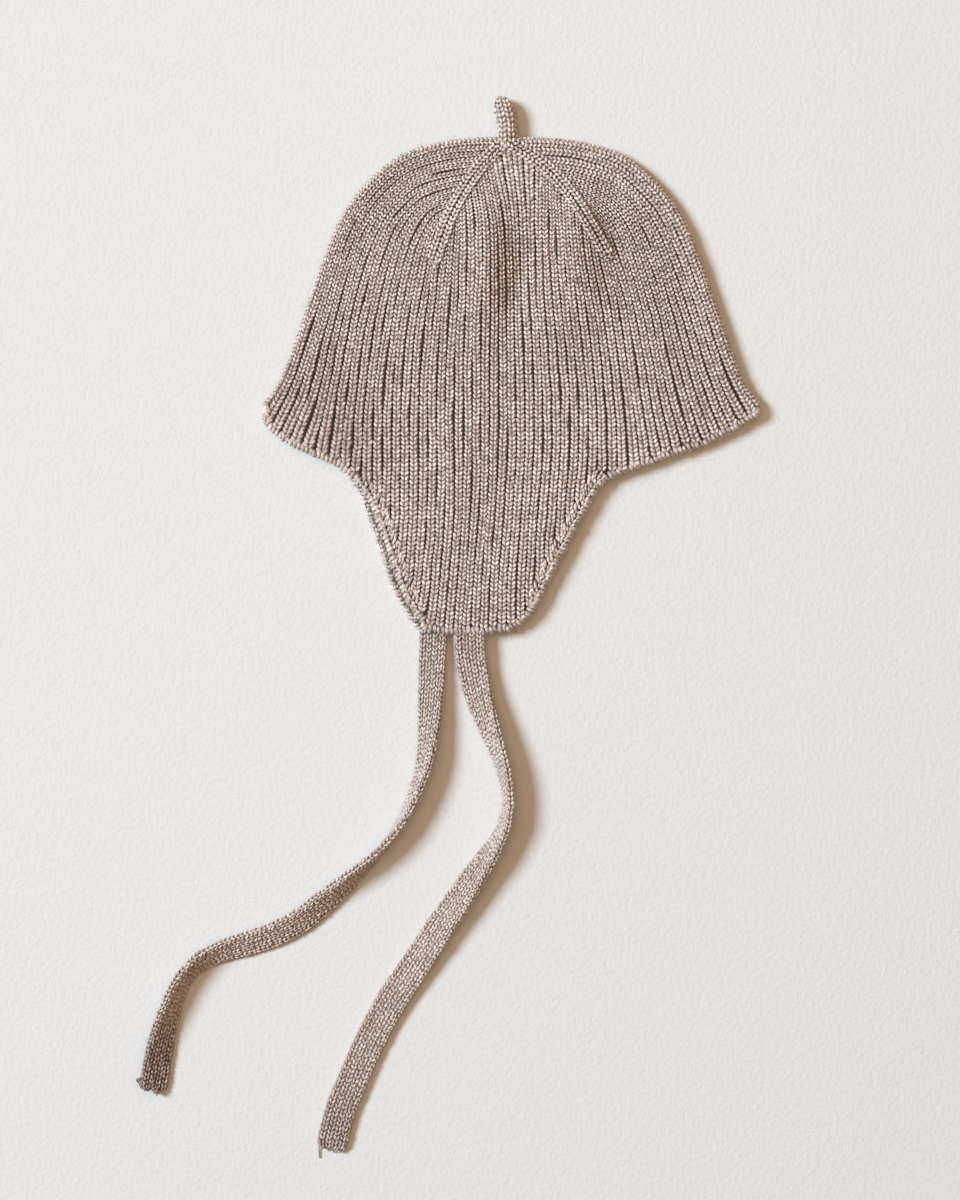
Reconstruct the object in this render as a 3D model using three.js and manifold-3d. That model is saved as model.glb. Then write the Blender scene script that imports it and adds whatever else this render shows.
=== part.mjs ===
// Baby's knitted wool hat with two ear flaps, two ties and a short stem on top.
// It lies flat on its side, as when it is put down folded in half: the crown's two folds are the left and the
// right outline, the ear flaps lie on each other, and the ties run out over the surface.
// Millimetres. +Z is up from the surface, +Y points from the flaps to the stem, +X goes across the hat.
// The origin is on the surface, under the middle of the hat without its ties.

import * as THREE from 'three';
import Module from 'manifold-3d';

// Outline of the folded hat
const BRIM_WIDTH = 199.2;
const CROWN_RISE = 108;
const FLAP_DROP = 88.8;
const STEM_RISE = 17.2;

// The knit and the hollow inside it
const WALL = 2.6;
const FOLD_GAP = 1.6;
const MOUTH_GAP = 4.8;
const CROWN_PUFF = 7;
const FOLD_SPREAD = 34;
const FLAP_OFFSET = 3.4;

// Raised ridges where the crown narrows
const RIDGE_WIDTH = 5.6;
const RIDGE_HEIGHT = 1.1;

// Stem and ties
const STEM_WIDTH = 8.6;
const TIE_WIDTH = 11.6;
const TIE_THICKNESS = 2.8;
const TIE_END_TAPER = 0.72;
const KNIT_CLEARANCE = 0.3;

// How finely the soft surfaces are divided
const COLUMNS = 60;
const ROWS = 12;
const FOLD_STEPS = 3;
const TIE_STEPS = 36;
const RIDGE_STEPS = 10;

const halfBrim = BRIM_WIDTH / 2;
const foldRadius = WALL + FOLD_GAP / 2;

// The folded outline from the middle of the crown's top to a brim corner, the same on both sides.
// across: share of half the brim width. rise: share of the crown's rise above the brim corners.
const FOLD_OUTLINE = [
  { across: 0, rise: 1 },
  { across: 0.15, rise: 0.997 },
  { across: 0.305, rise: 0.978 },
  { across: 0.46, rise: 0.926 },
  { across: 0.606, rise: 0.807 },
  { across: 0.691, rise: 0.689 },
  { across: 0.745, rise: 0.57 },
  { across: 0.835, rise: 0.333 },
  { across: 0.93, rise: 0.096 },
  { across: 1, rise: 0.008 },
];

// The cast-on edge of the upper layer, from the left brim corner round the ear flap to the right one.
// across: share of half the brim width. drop: share of the flaps' drop below the brim corners.
const CAST_ON_EDGE = [
  { across: -0.986, drop: 0.063 },
  { across: -0.93, drop: 0.126 },
  { across: -0.849, drop: 0.176 },
  { across: -0.769, drop: 0.216 },
  { across: -0.697, drop: 0.252 },
  { across: -0.641, drop: 0.302 },
  { across: -0.576, drop: 0.396 },
  { across: -0.528, drop: 0.514 },
  { across: -0.476, drop: 0.685 },
  { across: -0.428, drop: 0.833 },
  { across: -0.388, drop: 0.905 },
  { across: -0.345, drop: 0.978 },
  { across: -0.29, drop: 1 },
  { across: -0.086, drop: 1 },
  { across: -0.014, drop: 0.991 },
  { across: 0.05, drop: 0.95 },
  { across: 0.094, drop: 0.887 },
  { across: 0.179, drop: 0.698 },
  { across: 0.307, drop: 0.428 },
  { across: 0.355, drop: 0.338 },
  { across: 0.404, drop: 0.302 },
  { across: 0.516, drop: 0.257 },
  { across: 0.637, drop: 0.207 },
  { across: 0.757, drop: 0.162 },
  { across: 0.869, drop: 0.104 },
  { across: 0.984, drop: 0.026 },
];

// Soft hills and the dent of the upper layer, as smooth bells.
// across, wide: shares of half the brim width. rise, tall: shares of the crown's rise. lift: share of the puff.
const HILLS = [
  { across: -0.02, rise: 0.5, wide: 0.62, tall: 0.42, lift: 0.85 },
  { across: -0.15, rise: 0.72, wide: 0.1, tall: 0.2, lift: 0.2 },
  { across: 0.01, rise: 0.46, wide: 0.08, tall: 0.24, lift: -0.4 },
  { across: 0.19, rise: 0.62, wide: 0.11, tall: 0.28, lift: 0.28 },
];

// Decrease ridges of the upper layer, from the apex down, in the same shares as the outline.
const RIDGES = [
  [
    { across: -0.058, rise: 0.955 },
    { across: -0.143, rise: 0.893 },
    { across: -0.215, rise: 0.8 },
    { across: -0.271, rise: 0.696 },
    { across: -0.31, rise: 0.555 },
  ],
  [
    { across: 0.042, rise: 0.952 },
    { across: 0.143, rise: 0.881 },
    { across: 0.231, rise: 0.789 },
    { across: 0.307, rise: 0.681 },
    { across: 0.38, rise: 0.575 },
  ],
];

// Routes of the ties over the surface, from the edge of the flap that each is knitted to.
// x, y: millimetres from its start. roll: degrees that the right-hand edge is turned up. lift: millimetres held
// up by the flap.
const LOWER_TIE_ROUTE = [
  { x: 0, y: 0, roll: 4, lift: 0 },
  { x: -0.3, y: -9.2, roll: 12, lift: 0 },
  { x: -0.6, y: -19.2, roll: 24, lift: 0 },
  { x: -1.1, y: -29.2, roll: 34, lift: 0 },
  { x: -1.8, y: -39.2, roll: 46, lift: 0 },
  { x: -2.8, y: -48, roll: 58, lift: 0 },
  { x: -4.8, y: -57.2, roll: 68, lift: 0 },
  { x: -8.4, y: -66.4, roll: 76, lift: 0 },
  { x: -13.2, y: -76, roll: 84, lift: 0 },
  { x: -19.6, y: -84.8, roll: 94, lift: 0 },
  { x: -27.2, y: -92.8, roll: 108, lift: 0 },
  { x: -35.2, y: -100, roll: 124, lift: 0 },
  { x: -44, y: -107.6, roll: 136, lift: 0 },
  { x: -53.2, y: -114.8, roll: 140, lift: 0 },
  { x: -63.2, y: -120, roll: 141, lift: 0 },
  { x: -74, y: -123.6, roll: 139, lift: 0 },
  { x: -84.4, y: -126.8, roll: 132, lift: 0 },
  { x: -92.6, y: -130.8, roll: 122, lift: 0 },
  { x: -98.4, y: -136.4, roll: 116, lift: 0 },
  { x: -102.2, y: -143, roll: 118, lift: 0 },
  { x: -105, y: -151, roll: 126, lift: 0 },
  { x: -107.8, y: -160.4, roll: 136, lift: 0 },
  { x: -109.8, y: -170.4, roll: 143, lift: 0 },
  { x: -112, y: -182.4, roll: 150, lift: 0 },
];

const UPPER_TIE_ROUTE = [
  { x: 0, y: 0, roll: 2, lift: 7.2 },
  { x: 0.4, y: -8, roll: 10, lift: 4.6 },
  { x: 2.4, y: -18.4, roll: 22, lift: 1.4 },
  { x: 4.8, y: -28, roll: 38, lift: 0.2 },
  { x: 8, y: -37.6, roll: 54, lift: 0 },
  { x: 11.2, y: -46.4, roll: 66, lift: 0 },
  { x: 13.8, y: -54.4, roll: 73, lift: 0 },
  { x: 15.3, y: -62, roll: 78, lift: 0 },
  { x: 15.6, y: -69, roll: 79, lift: 0 },
  { x: 14.2, y: -76.2, roll: 76, lift: 0 },
  { x: 11, y: -83.2, roll: 69, lift: 0 },
  { x: 6.6, y: -90, roll: 58, lift: 0 },
  { x: 1.6, y: -97.6, roll: 46, lift: 0 },
  { x: -4.4, y: -106.8, roll: 37, lift: 0 },
  { x: -10.8, y: -116, roll: 29, lift: 0 },
  { x: -17.2, y: -126, roll: 20, lift: 0 },
  { x: -24.4, y: -136.8, roll: 12, lift: 0 },
  { x: -31.2, y: -147.2, roll: 7, lift: 0 },
  { x: -37.2, y: -158, roll: 5, lift: 0 },
  { x: -42.4, y: -168.8, roll: 4, lift: 0 },
  { x: -47.2, y: -180, roll: 4, lift: 0 },
  { x: -51.6, y: -191.2, roll: 3, lift: 0 },
  { x: -55.6, y: -207.2, roll: 2, lift: 0 },
];

// Where the ties are knitted on, across the bottom edge of the flaps, as shares of half the brim width.
const LOWER_TIE_ACROSS = -0.315;
const UPPER_TIE_ACROSS = -0.171;

const wasm = await Module();
wasm.setup();

function smoothstep(share) {
  const s = Math.min(1, Math.max(0, share));
  return s * s * (3 - 2 * s);
}

function smoothCurve(points) {
  const curve = new THREE.CatmullRomCurve3(points, false, 'centripetal');
  curve.arcLengthDivisions = 400;
  return curve;
}

function foldPoint({ across, rise }, side = 1) {
  return new THREE.Vector3(side * across * halfBrim, rise * CROWN_RISE, 0);
}

function edgePoint({ across, drop }) {
  return new THREE.Vector3(across * halfBrim, -drop * FLAP_DROP, 0);
}

// Both curves run from the left brim corner to the right one.
const foldCurve = smoothCurve([
  ...FOLD_OUTLINE.slice(1).reverse().map((row) => foldPoint(row, -1)),
  ...FOLD_OUTLINE.map((row) => foldPoint(row, 1)),
]);
const edgeCurve = smoothCurve(CAST_ON_EDGE.map(edgePoint));
const foldTrace = foldCurve.getSpacedPoints(4 * COLUMNS);
const flapBottom = Math.min(...edgeCurve.getSpacedPoints(4 * COLUMNS).map((p) => p.y));
const brimY = -(CROWN_RISE + STEM_RISE + flapBottom) / 2;

function distanceToFold(point) {
  return Math.min(...foldTrace.map((p) => Math.hypot(p.x - point.x, p.y - point.y)));
}

// Height of the hollow between the two layers at a place in plan.
function hollowAt(point) {
  const hills = HILLS.map((hill) => {
    const x = (point.x / halfBrim - hill.across) / hill.wide;
    const y = (point.y / CROWN_RISE - hill.rise) / hill.tall;
    return hill.lift * Math.exp(-x * x - y * y);
  });
  const open = MOUTH_GAP + CROWN_PUFF * hills.reduce((sum, h) => sum + h, 0);
  const away = smoothstep((distanceToFold(point) - foldRadius) / FOLD_SPREAD);
  return FOLD_GAP + (open - FOLD_GAP) * away;
}

function topOfHat(point) {
  return 2 * WALL + hollowAt(point);
}

// The lower flap lies a little to the left of the upper one.
function lowerLayerShift(point) {
  return -FLAP_OFFSET * smoothstep((-point.y / FLAP_DROP - 0.2) / 0.3);
}

// One column of the shell, from the fold to the cast-on edge: a closed hairpin section through both layers.
// It gives the outer points from the upper edge round the fold to the lower edge, and the inner points alike.
function hairpin(share) {
  const fold = foldCurve.getPointAt(share);
  const edge = edgeCurve.getPointAt(share);
  const tangent = foldCurve.getTangentAt(share);
  const inward = new THREE.Vector3(tangent.y, -tangent.x, 0).normalize();
  const innerFold = fold.clone().addScaledVector(inward, foldRadius);

  const outer = { upper: [], lower: [] };
  const inner = { upper: [], lower: [] };
  for (let step = 0; step <= FOLD_STEPS; step++) {
    const turn = (step / FOLD_STEPS) * (Math.PI / 2);
    const out = fold.clone().addScaledVector(inward, foldRadius * (1 - Math.cos(turn)));
    const inn = fold.clone().addScaledVector(inward, foldRadius - (FOLD_GAP / 2) * Math.cos(turn));
    outer.upper.push(out.clone().setZ(foldRadius * (1 + Math.sin(turn))));
    outer.lower.push(out.clone().setZ(foldRadius * (1 - Math.sin(turn))));
    inner.upper.push(inn.clone().setZ(foldRadius + (FOLD_GAP / 2) * Math.sin(turn)));
    inner.lower.push(inn.clone().setZ(foldRadius - (FOLD_GAP / 2) * Math.sin(turn)));
  }
  for (let row = 1; row <= ROWS; row++) {
    const place = innerFold.clone().lerp(edge, row / ROWS);
    const hollow = hollowAt(place);
    const shifted = place.clone().setX(place.x + lowerLayerShift(place));
    outer.upper.push(place.clone().setZ(2 * WALL + hollow));
    inner.upper.push(place.clone().setZ(WALL + hollow));
    outer.lower.push(shifted.clone().setZ(0));
    inner.lower.push(shifted.clone().setZ(WALL));
  }
  return {
    outer: [...outer.upper.reverse(), ...outer.lower.slice(1)],
    inner: [...inner.upper.reverse(), ...inner.lower.slice(1)],
  };
}

function meshGeometry(points, triangles) {
  const geometry = new THREE.BufferGeometry();
  geometry.setAttribute('position', new THREE.Float32BufferAttribute(points.flatMap((p) => p.toArray()), 3));
  geometry.setIndex(triangles.flat());
  return geometry;
}

function quad(a, b, c, d) {
  return [[a, b, c], [a, c, d]];
}

// Skin over rings of points that follow each other. The rings' points run anticlockwise as seen from the last
// ring, and the end faces come from the caller.
function skinTriangles(rings) {
  const size = rings[0].length;
  const triangles = [];
  for (let ring = 0; ring + 1 < rings.length; ring++) {
    for (let i = 0; i < size; i++) {
      const next = (i + 1) % size;
      const here = ring * size;
      const there = here + size;
      triangles.push(...quad(here + i, here + next, there + next, there + i));
    }
  }
  return triangles;
}

// A solid whose sections are all convex is closed by a fan at each end.
function convexSolid(rings) {
  const size = rings[0].length;
  const last = (rings.length - 1) * size;
  const triangles = skinTriangles(rings);
  for (let i = 1; i + 1 < size; i++) {
    triangles.push([0, i + 1, i], [last, last + i, last + i + 1]);
  }
  return meshGeometry(rings.flat(), triangles);
}

function shellGeometry() {
  const columns = Array.from({ length: COLUMNS + 1 }, (_, i) => hairpin(1 - i / COLUMNS));
  const rings = columns.map(({ outer, inner }) => [...outer, ...inner.slice().reverse()]);
  const size = rings[0].length;
  const last = (rings.length - 1) * size;
  const triangles = skinTriangles(rings);
  for (let i = 0; i + 1 < size / 2; i++) {
    const across = size - 1 - i;
    triangles.push(...quad(i, across, across - 1, i + 1));
    triangles.push(...quad(last + i, last + i + 1, last + across - 1, last + across));
  }
  return meshGeometry(rings.flat(), triangles);
}

// A low rounded bead along a decrease line, sunk to its middle in the upper layer.
function ridgeGeometry(table) {
  const curve = smoothCurve(table.map((row) => foldPoint(row)));
  const rings = [];
  for (let step = 0; step <= RIDGE_STEPS; step++) {
    const share = step / RIDGE_STEPS;
    const centre = curve.getPointAt(share);
    const tangent = curve.getTangentAt(share);
    const sideways = new THREE.Vector3(-tangent.y, tangent.x, 0).normalize();
    centre.z = topOfHat(centre);
    const blunt = step === 0 || step === RIDGE_STEPS ? 0.6 : 1;
    const ring = [];
    for (let corner = 0; corner < 8; corner++) {
      const turn = (corner / 8) * 2 * Math.PI;
      const point = centre.clone().addScaledVector(sideways, (blunt * RIDGE_WIDTH * Math.cos(turn)) / 2);
      point.z += blunt * RIDGE_HEIGHT * Math.sin(turn);
      ring.push(point);
    }
    rings.push(ring);
  }
  return convexSolid(rings);
}

function toManifold(geometry) {
  return new wasm.Manifold(new wasm.Mesh({
    numProp: 3,
    vertProperties: new Float32Array(geometry.attributes.position.array),
    triVerts: new Uint32Array(geometry.index.array),
  }));
}

function fromManifold(solid) {
  const mesh = solid.getMesh();
  const geometry = new THREE.BufferGeometry();
  geometry.setAttribute('position', new THREE.BufferAttribute(new Float32Array(mesh.vertProperties), 3));
  geometry.setIndex(Array.from(mesh.triVerts));
  return geometry;
}

// A flat knitted band along a route. Its section is turned by the roll and set down on the surface.
function tieGeometry(route) {
  const curve = smoothCurve(route.map((row) => new THREE.Vector3(row.x, row.y, 0)));
  const held = smoothCurve(route.map((row, i) => new THREE.Vector3(i, row.roll, row.lift)));
  const halfWidth = TIE_WIDTH / 2;
  const halfThick = TIE_THICKNESS / 2;
  const corner = 0.45 * TIE_THICKNESS;
  const section = [
    [halfWidth, halfThick - corner / 2], [halfWidth - corner, halfThick],
    [-halfWidth + corner, halfThick], [-halfWidth, halfThick - corner / 2],
    [-halfWidth, -halfThick + corner / 2], [-halfWidth + corner, -halfThick],
    [halfWidth - corner, -halfThick], [halfWidth, -halfThick + corner / 2],
  ];
  const rings = [];
  for (let step = 0; step <= TIE_STEPS; step++) {
    const share = curve.getUtoTmapping(step / TIE_STEPS);
    const taper = step === TIE_STEPS ? TIE_END_TAPER : 1;
    const centre = curve.getPoint(share);
    const tangent = curve.getTangent(share).normalize();
    const { y: roll, z: lift } = held.getPoint(share);
    const turn = THREE.MathUtils.degToRad(roll);
    const right = new THREE.Vector3(-tangent.y, tangent.x, 0);
    const turned = section.map(([w, t]) => [
      taper * w * Math.cos(turn) - t * Math.sin(turn),
      taper * w * Math.sin(turn) + t * Math.cos(turn),
    ]);
    const down = Math.min(...turned.map(([, up]) => up));
    rings.push(turned.map(([w, up]) => centre.clone().addScaledVector(right, w).setZ(up - down + lift)));
  }
  return convexSolid(rings);
}

// The stem is a round knitted cord that leans a little to the left and ends in a soft dome.
// along: share of its rise. lean: share of its width to the left. wide: share of its width.
const STEM_PROFILE = [
  { along: 0, lean: 0.2, wide: 0.96 },
  { along: 0.12, lean: 0.2, wide: 0.92 },
  { along: 0.4, lean: 0.24, wide: 0.93 },
  { along: 0.7, lean: 0.36, wide: 1 },
  { along: 0.86, lean: 0.43, wide: 0.97 },
  { along: 0.95, lean: 0.46, wide: 0.76 },
  { along: 1, lean: 0.47, wide: 0.4 },
];

function stemGeometry() {
  const sides = 12;
  const length = STEM_RISE - KNIT_CLEARANCE;
  const rings = STEM_PROFILE.map(({ along, lean, wide }) => {
    const ring = [];
    for (let side = 0; side < sides; side++) {
      const turn = (side / sides) * 2 * Math.PI;
      const radius = (wide * STEM_WIDTH) / 2;
      const x = -lean * STEM_WIDTH + radius * Math.cos(turn);
      ring.push(new THREE.Vector3(x, along * length, STEM_WIDTH / 2 - radius * Math.sin(turn)));
    }
    return ring;
  });
  return convexSolid(rings);
}

function wool(color) {
  return new THREE.MeshStandardMaterial({ color, roughness: 0.95, metalness: 0 });
}

function knitted(name, geometry, color) {
  geometry.computeVertexNormals();
  const mesh = new THREE.Mesh(geometry, wool(color));
  mesh.name = name;
  return mesh;
}

function hatBody() {
  const ridges = RIDGES.map((table) => toManifold(ridgeGeometry(table)));
  const shell = ridges.reduce((solid, ridge) => solid.add(ridge), toManifold(shellGeometry()));
  return knitted('hat_body', fromManifold(shell), 0xa59288);
}

function tie(name, route, across) {
  const mesh = knitted(name, tieGeometry(route), 0x9c8a80);
  mesh.position.set(across * halfBrim, flapBottom - KNIT_CLEARANCE, 0);
  return mesh;
}

function topStem() {
  const mesh = knitted('top_stem', stemGeometry(), 0x978478);
  mesh.position.set(0, CROWN_RISE + KNIT_CLEARANCE, 0);
  return mesh;
}

const hat = new THREE.Group();
hat.add(
  hatBody(),
  topStem(),
  tie('tie_lower', LOWER_TIE_ROUTE, LOWER_TIE_ACROSS),
  tie('tie_upper', UPPER_TIE_ROUTE, UPPER_TIE_ACROSS),
);
hat.position.y = brimY;

export default hat;
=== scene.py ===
# %% [markdown]
# # A baby's hat, knitted in fine wool
# The real hat is one piece of machine knitting: a tube of rib, narrowed to a stem, with two ear flaps and
# two long ties. It lies on its side, so that the left and the right outline are folds and the flaps lie on
# each other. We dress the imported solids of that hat. A photograph of knitwear is a picture of its stitches,
# so nearly all of this lesson is about laying real loops of yarn, in rows and columns, on a curved surface.

import math

import bpy
import numpy as np
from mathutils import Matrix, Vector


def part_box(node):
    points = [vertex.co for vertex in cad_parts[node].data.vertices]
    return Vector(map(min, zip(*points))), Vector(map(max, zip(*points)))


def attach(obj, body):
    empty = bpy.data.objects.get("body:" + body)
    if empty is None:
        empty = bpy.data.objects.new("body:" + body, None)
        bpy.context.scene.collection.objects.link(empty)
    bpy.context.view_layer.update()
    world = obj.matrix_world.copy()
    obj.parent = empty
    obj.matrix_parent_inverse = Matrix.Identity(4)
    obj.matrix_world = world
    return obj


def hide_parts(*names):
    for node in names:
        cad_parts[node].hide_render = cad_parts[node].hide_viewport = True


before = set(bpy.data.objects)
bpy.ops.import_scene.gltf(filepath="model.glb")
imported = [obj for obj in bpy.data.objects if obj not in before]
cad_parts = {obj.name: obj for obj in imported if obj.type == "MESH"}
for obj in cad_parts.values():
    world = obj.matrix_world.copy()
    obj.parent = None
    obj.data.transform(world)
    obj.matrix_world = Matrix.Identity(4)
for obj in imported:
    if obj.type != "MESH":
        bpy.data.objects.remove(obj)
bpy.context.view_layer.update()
rng = np.random.default_rng(27)
print("solids in the frame:", sorted(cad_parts))

# %% [markdown]
# ## Sizes
# We work in millimetres, measured from the middle of the line between the two brim corners, because a
# knitter would measure a hat from its brim. `to_world` turns such points into metres of the shared frame.
# The frame's own boxes give the half width and the height of that line, so nothing has to be fitted by eye.

# %% Driving sizes of the folded hat
MM = 0.001
CROWN_RISE = 108.0
FLAP_DROP = 88.8
WALL = 2.6
FOLD_GAP = 1.6
MOUTH_GAP = 4.8
CROWN_PUFF = 7.0
FOLD_SPREAD = 34.0
FLAP_OFFSET = 3.4
FOLD_RADIUS = WALL + FOLD_GAP / 2

body_low, body_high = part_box("hat_body")
HALF_BRIM = (body_high.x - body_low.x) / 2 / MM
BRIM_Y = body_high.y / MM - CROWN_RISE
FLAP_BOTTOM = body_low.y / MM - BRIM_Y


def to_world(points):
    """Hat millimetres as metres of the frame."""
    return (np.asarray(points, float) + [0.0, BRIM_Y, 0.0]) * MM


print(f"half brim {HALF_BRIM:.1f} mm, brim line at y {BRIM_Y:.1f} mm, flaps end at {FLAP_BOTTOM:.1f} mm")

# %% [markdown]
# ## Camera
# The hat was photographed from straight above. A long lens from a good height keeps the outline true, and
# the picture's centre lies a little below and left of the hat, because the ties run out to that side.

# %% Camera straight above
PICTURE_HEIGHT = 0.480
CAMERA_HEIGHT = 1.2
PICTURE_CENTRE = (-0.0126, -0.0942)
SENSOR_WIDTH = 36


def in_scene(name, data):
    """A new object of the scene that shows some data."""
    obj = bpy.data.objects.new(name, data)
    bpy.context.scene.collection.objects.link(obj)
    return obj


camera_data = bpy.data.cameras.new("camera_above")
camera_data.sensor_width = SENSOR_WIDTH
camera_data.lens = SENSOR_WIDTH * CAMERA_HEIGHT / PICTURE_HEIGHT
camera = in_scene("camera_above", camera_data)
camera.location = (*PICTURE_CENTRE, CAMERA_HEIGHT)
bpy.context.scene.camera = camera
print(f"lens {camera_data.lens:.0f} mm")

# %% [markdown]
# ## Smooth curves
# The outline, the cast-on edge and the ties are all smooth curves through a few chosen points. Blender's
# own curve objects would do, but the CAD part uses centripetal Catmull-Rom curves, and the stitches have to
# sit exactly on its surfaces. So we write the same curve in a few lines of numpy.

# %% The curve that the solids use
def spline(points, times):
    """Centripetal Catmull-Rom curve through points, at times from 0 to 1."""
    points = np.asarray(points, float)
    ends = np.vstack([2 * points[0] - points[1], points, 2 * points[-1] - points[-2]])
    spans = np.maximum(np.sqrt(np.linalg.norm(np.diff(ends, axis=0), axis=1)), 1e-4)
    place = np.clip(np.asarray(times, float) * (len(points) - 1), 0, len(points) - 1 - 1e-9)
    i = place.astype(int)
    w = (place - i)[:, None]
    before, here, there, after = (ends[i + k] for k in range(4))
    d0, d1, d2 = (spans[i + k][:, None] for k in range(3))
    leave = ((here - before) / d0 - (there - before) / (d0 + d1) + (there - here) / d1) * d1
    reach = ((there - here) / d1 - (after - here) / (d1 + d2) + (after - there) / d2) * d1
    bend = 3 * (there - here) - 2 * leave - reach
    settle = 2 * (here - there) + leave + reach
    return here + w * (leave + w * (bend + w * settle))


def lengths_along(points):
    """Distance from the start of a polyline to each of its points."""
    steps = np.linalg.norm(np.diff(points, axis=0), axis=1)
    return np.concatenate([[0.0], np.cumsum(steps)])


def along_line(places, gone, field):
    """Rows of a line's field at places along it. gone: each point's distance from the start."""
    return np.stack([np.interp(places, gone, field[:, k]) for k in range(field.shape[1])], axis=-1)


def even_times(points, count):
    """Times at which a curve through points is passed in even steps."""
    fine = np.linspace(0, 1, 40 * len(points))
    gone = lengths_along(spline(points, fine))
    return np.interp(np.linspace(0, gone[-1], count), gone, fine)


def unit(vectors):
    """Vectors scaled to length 1."""
    return vectors / np.maximum(np.linalg.norm(vectors, axis=-1, keepdims=True), 1e-9)


def heading(points):
    """Direction of travel at each point of a line."""
    return unit(np.gradient(points, axis=0))


def right_of(along):
    """Directions of the plan, turned a quarter to the right."""
    return np.column_stack([along[:, 1], -along[:, 0]])


def ramp(value, low, high):
    """0 up to low, 1 from high on, and a soft step between."""
    share = np.clip((value - low) / (high - low), 0, 1)
    return share * share * (3 - 2 * share)

# %% [markdown]
# ## The ties come first
# Each tie is a flat band knitted on to the bottom of a flap. Wool this soft doesn't lie flat all the way:
# the band rolls up on one edge and lies down again, which is what makes its width seem to change. The route
# is a short list chosen along the photograph's ties, with the roll of the band at each point. A
# route with a roll is easier to judge than a cloth simulation here, and it gives the same lie on every run.
# The upper tie starts a little lower than in the solid, together with the edge of its flap.

# %% Routes of the two ties: x, y from the start, roll in degrees, lift
LOWER_TIE_ROUTE = [
    (0, 0, 4, 0), (-0.3, -9.2, 12, 0), (-0.6, -19.2, 24, 0), (-1.1, -29.2, 34, 0),
    (-1.8, -39.2, 46, 0), (-2.8, -48, 58, 0), (-4.8, -57.2, 68, 0), (-8.4, -66.4, 76, 0),
    (-13.2, -76, 84, 0), (-19.6, -84.8, 94, 0), (-27.2, -92.8, 108, 0), (-35.2, -100, 124, 0),
    (-44, -107.6, 136, 0), (-53.2, -114.8, 140, 0), (-63.2, -120, 141, 0), (-74, -123.6, 139, 0),
    (-84.4, -126.8, 132, 0), (-92.6, -130.8, 122, 0), (-98.4, -136.4, 116, 0), (-102.2, -143, 118, 0),
    (-105, -151, 126, 0), (-107.8, -160.4, 136, 0), (-109.8, -170.4, 143, 0), (-112, -182.4, 150, 0),
]
UPPER_TIE_ROUTE = [
    (0, 0, 2, 4.4), (0.4, -8, 10, 2.8), (2.4, -18.4, 22, 0.8), (4.8, -28, 38, 0.1),
    (8, -37.6, 54, 0), (11.2, -46.4, 66, 0), (13.8, -54.4, 73, 0), (15.3, -62, 78, 0),
    (15.6, -69, 79, 0), (14.2, -76.2, 76, 0), (11, -83.2, 69, 0), (6.6, -90, 58, 0),
    (1.6, -97.6, 46, 0), (-4.4, -106.8, 37, 0), (-10.8, -116, 29, 0), (-17.2, -126, 20, 0),
    (-24.4, -136.8, 12, 0), (-31.2, -147.2, 7, 0), (-37.2, -158, 5, 0), (-42.4, -168.8, 4, 0),
    (-47.2, -180, 4, 0), (-51.6, -191.2, 3, 0), (-55.6, -207.2, 2, 0),
]
LOWER_TIE_ACROSS = -0.315
UPPER_TIE_ACROSS = -0.171
TIE_WIDTH = 11.6
TIE_THICKNESS = 2.8
TIE_CORNER = 0.45 * TIE_THICKNESS
KNIT_CLEARANCE = 0.3
TIE_RINGS = 240


def tie_frames(route, across):
    """Middle of a tie's section along its route, with the directions along, across and out of the band."""
    rows = np.asarray(route, float)
    flat = np.column_stack([rows[:, :2], np.zeros(len(rows))])
    times = even_times(flat, TIE_RINGS)
    middle = spline(flat, times)
    held = spline(np.column_stack([np.arange(len(rows)), rows[:, 2:]]), times)
    along = heading(middle)
    turn = np.radians(held[:, 1])[:, None]
    right = np.column_stack([-right_of(along), np.zeros(len(along))])
    up = np.array([0.0, 0.0, 1.0])
    band = right * np.cos(turn) + up * np.sin(turn)
    out = -right * np.sin(turn) + up * np.cos(turn)
    half_width, half_thick = TIE_WIDTH / 2, TIE_THICKNESS / 2
    tips = np.array([[half_width, half_thick - TIE_CORNER / 2], [half_width - TIE_CORNER, half_thick]])
    tips = np.vstack([tips * signs for signs in ([1, 1], [-1, 1], [1, -1], [-1, -1])])
    reach = np.sin(turn) * tips[:, 0] + np.cos(turn) * tips[:, 1]
    middle[:, 2] = held[:, 2] - reach.min(axis=1)
    middle += [across * HALF_BRIM, FLAP_BOTTOM - KNIT_CLEARANCE, 0]
    return {"at": middle, "along": along, "across": band, "out": out}


lower_tie_frames = tie_frames(LOWER_TIE_ROUTE, LOWER_TIE_ACROSS)
upper_tie_frames = tie_frames(UPPER_TIE_ROUTE, UPPER_TIE_ACROSS)
for name, frames in (("lower", lower_tie_frames), ("upper", upper_tie_frames)):
    print(f"{name} tie: {lengths_along(frames['at'])[-1]:.0f} mm long")

# %% [markdown]
# ## The folded outline
# A folded tube has no side edge: its outline is where the knitting turns over from the upper to the lower
# layer. We keep that line as a dense trace, and each point of a layer finds its nearest place on it. Close
# to the trace the surface follows a half round, and further in it follows the soft hollow of the crown.

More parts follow.
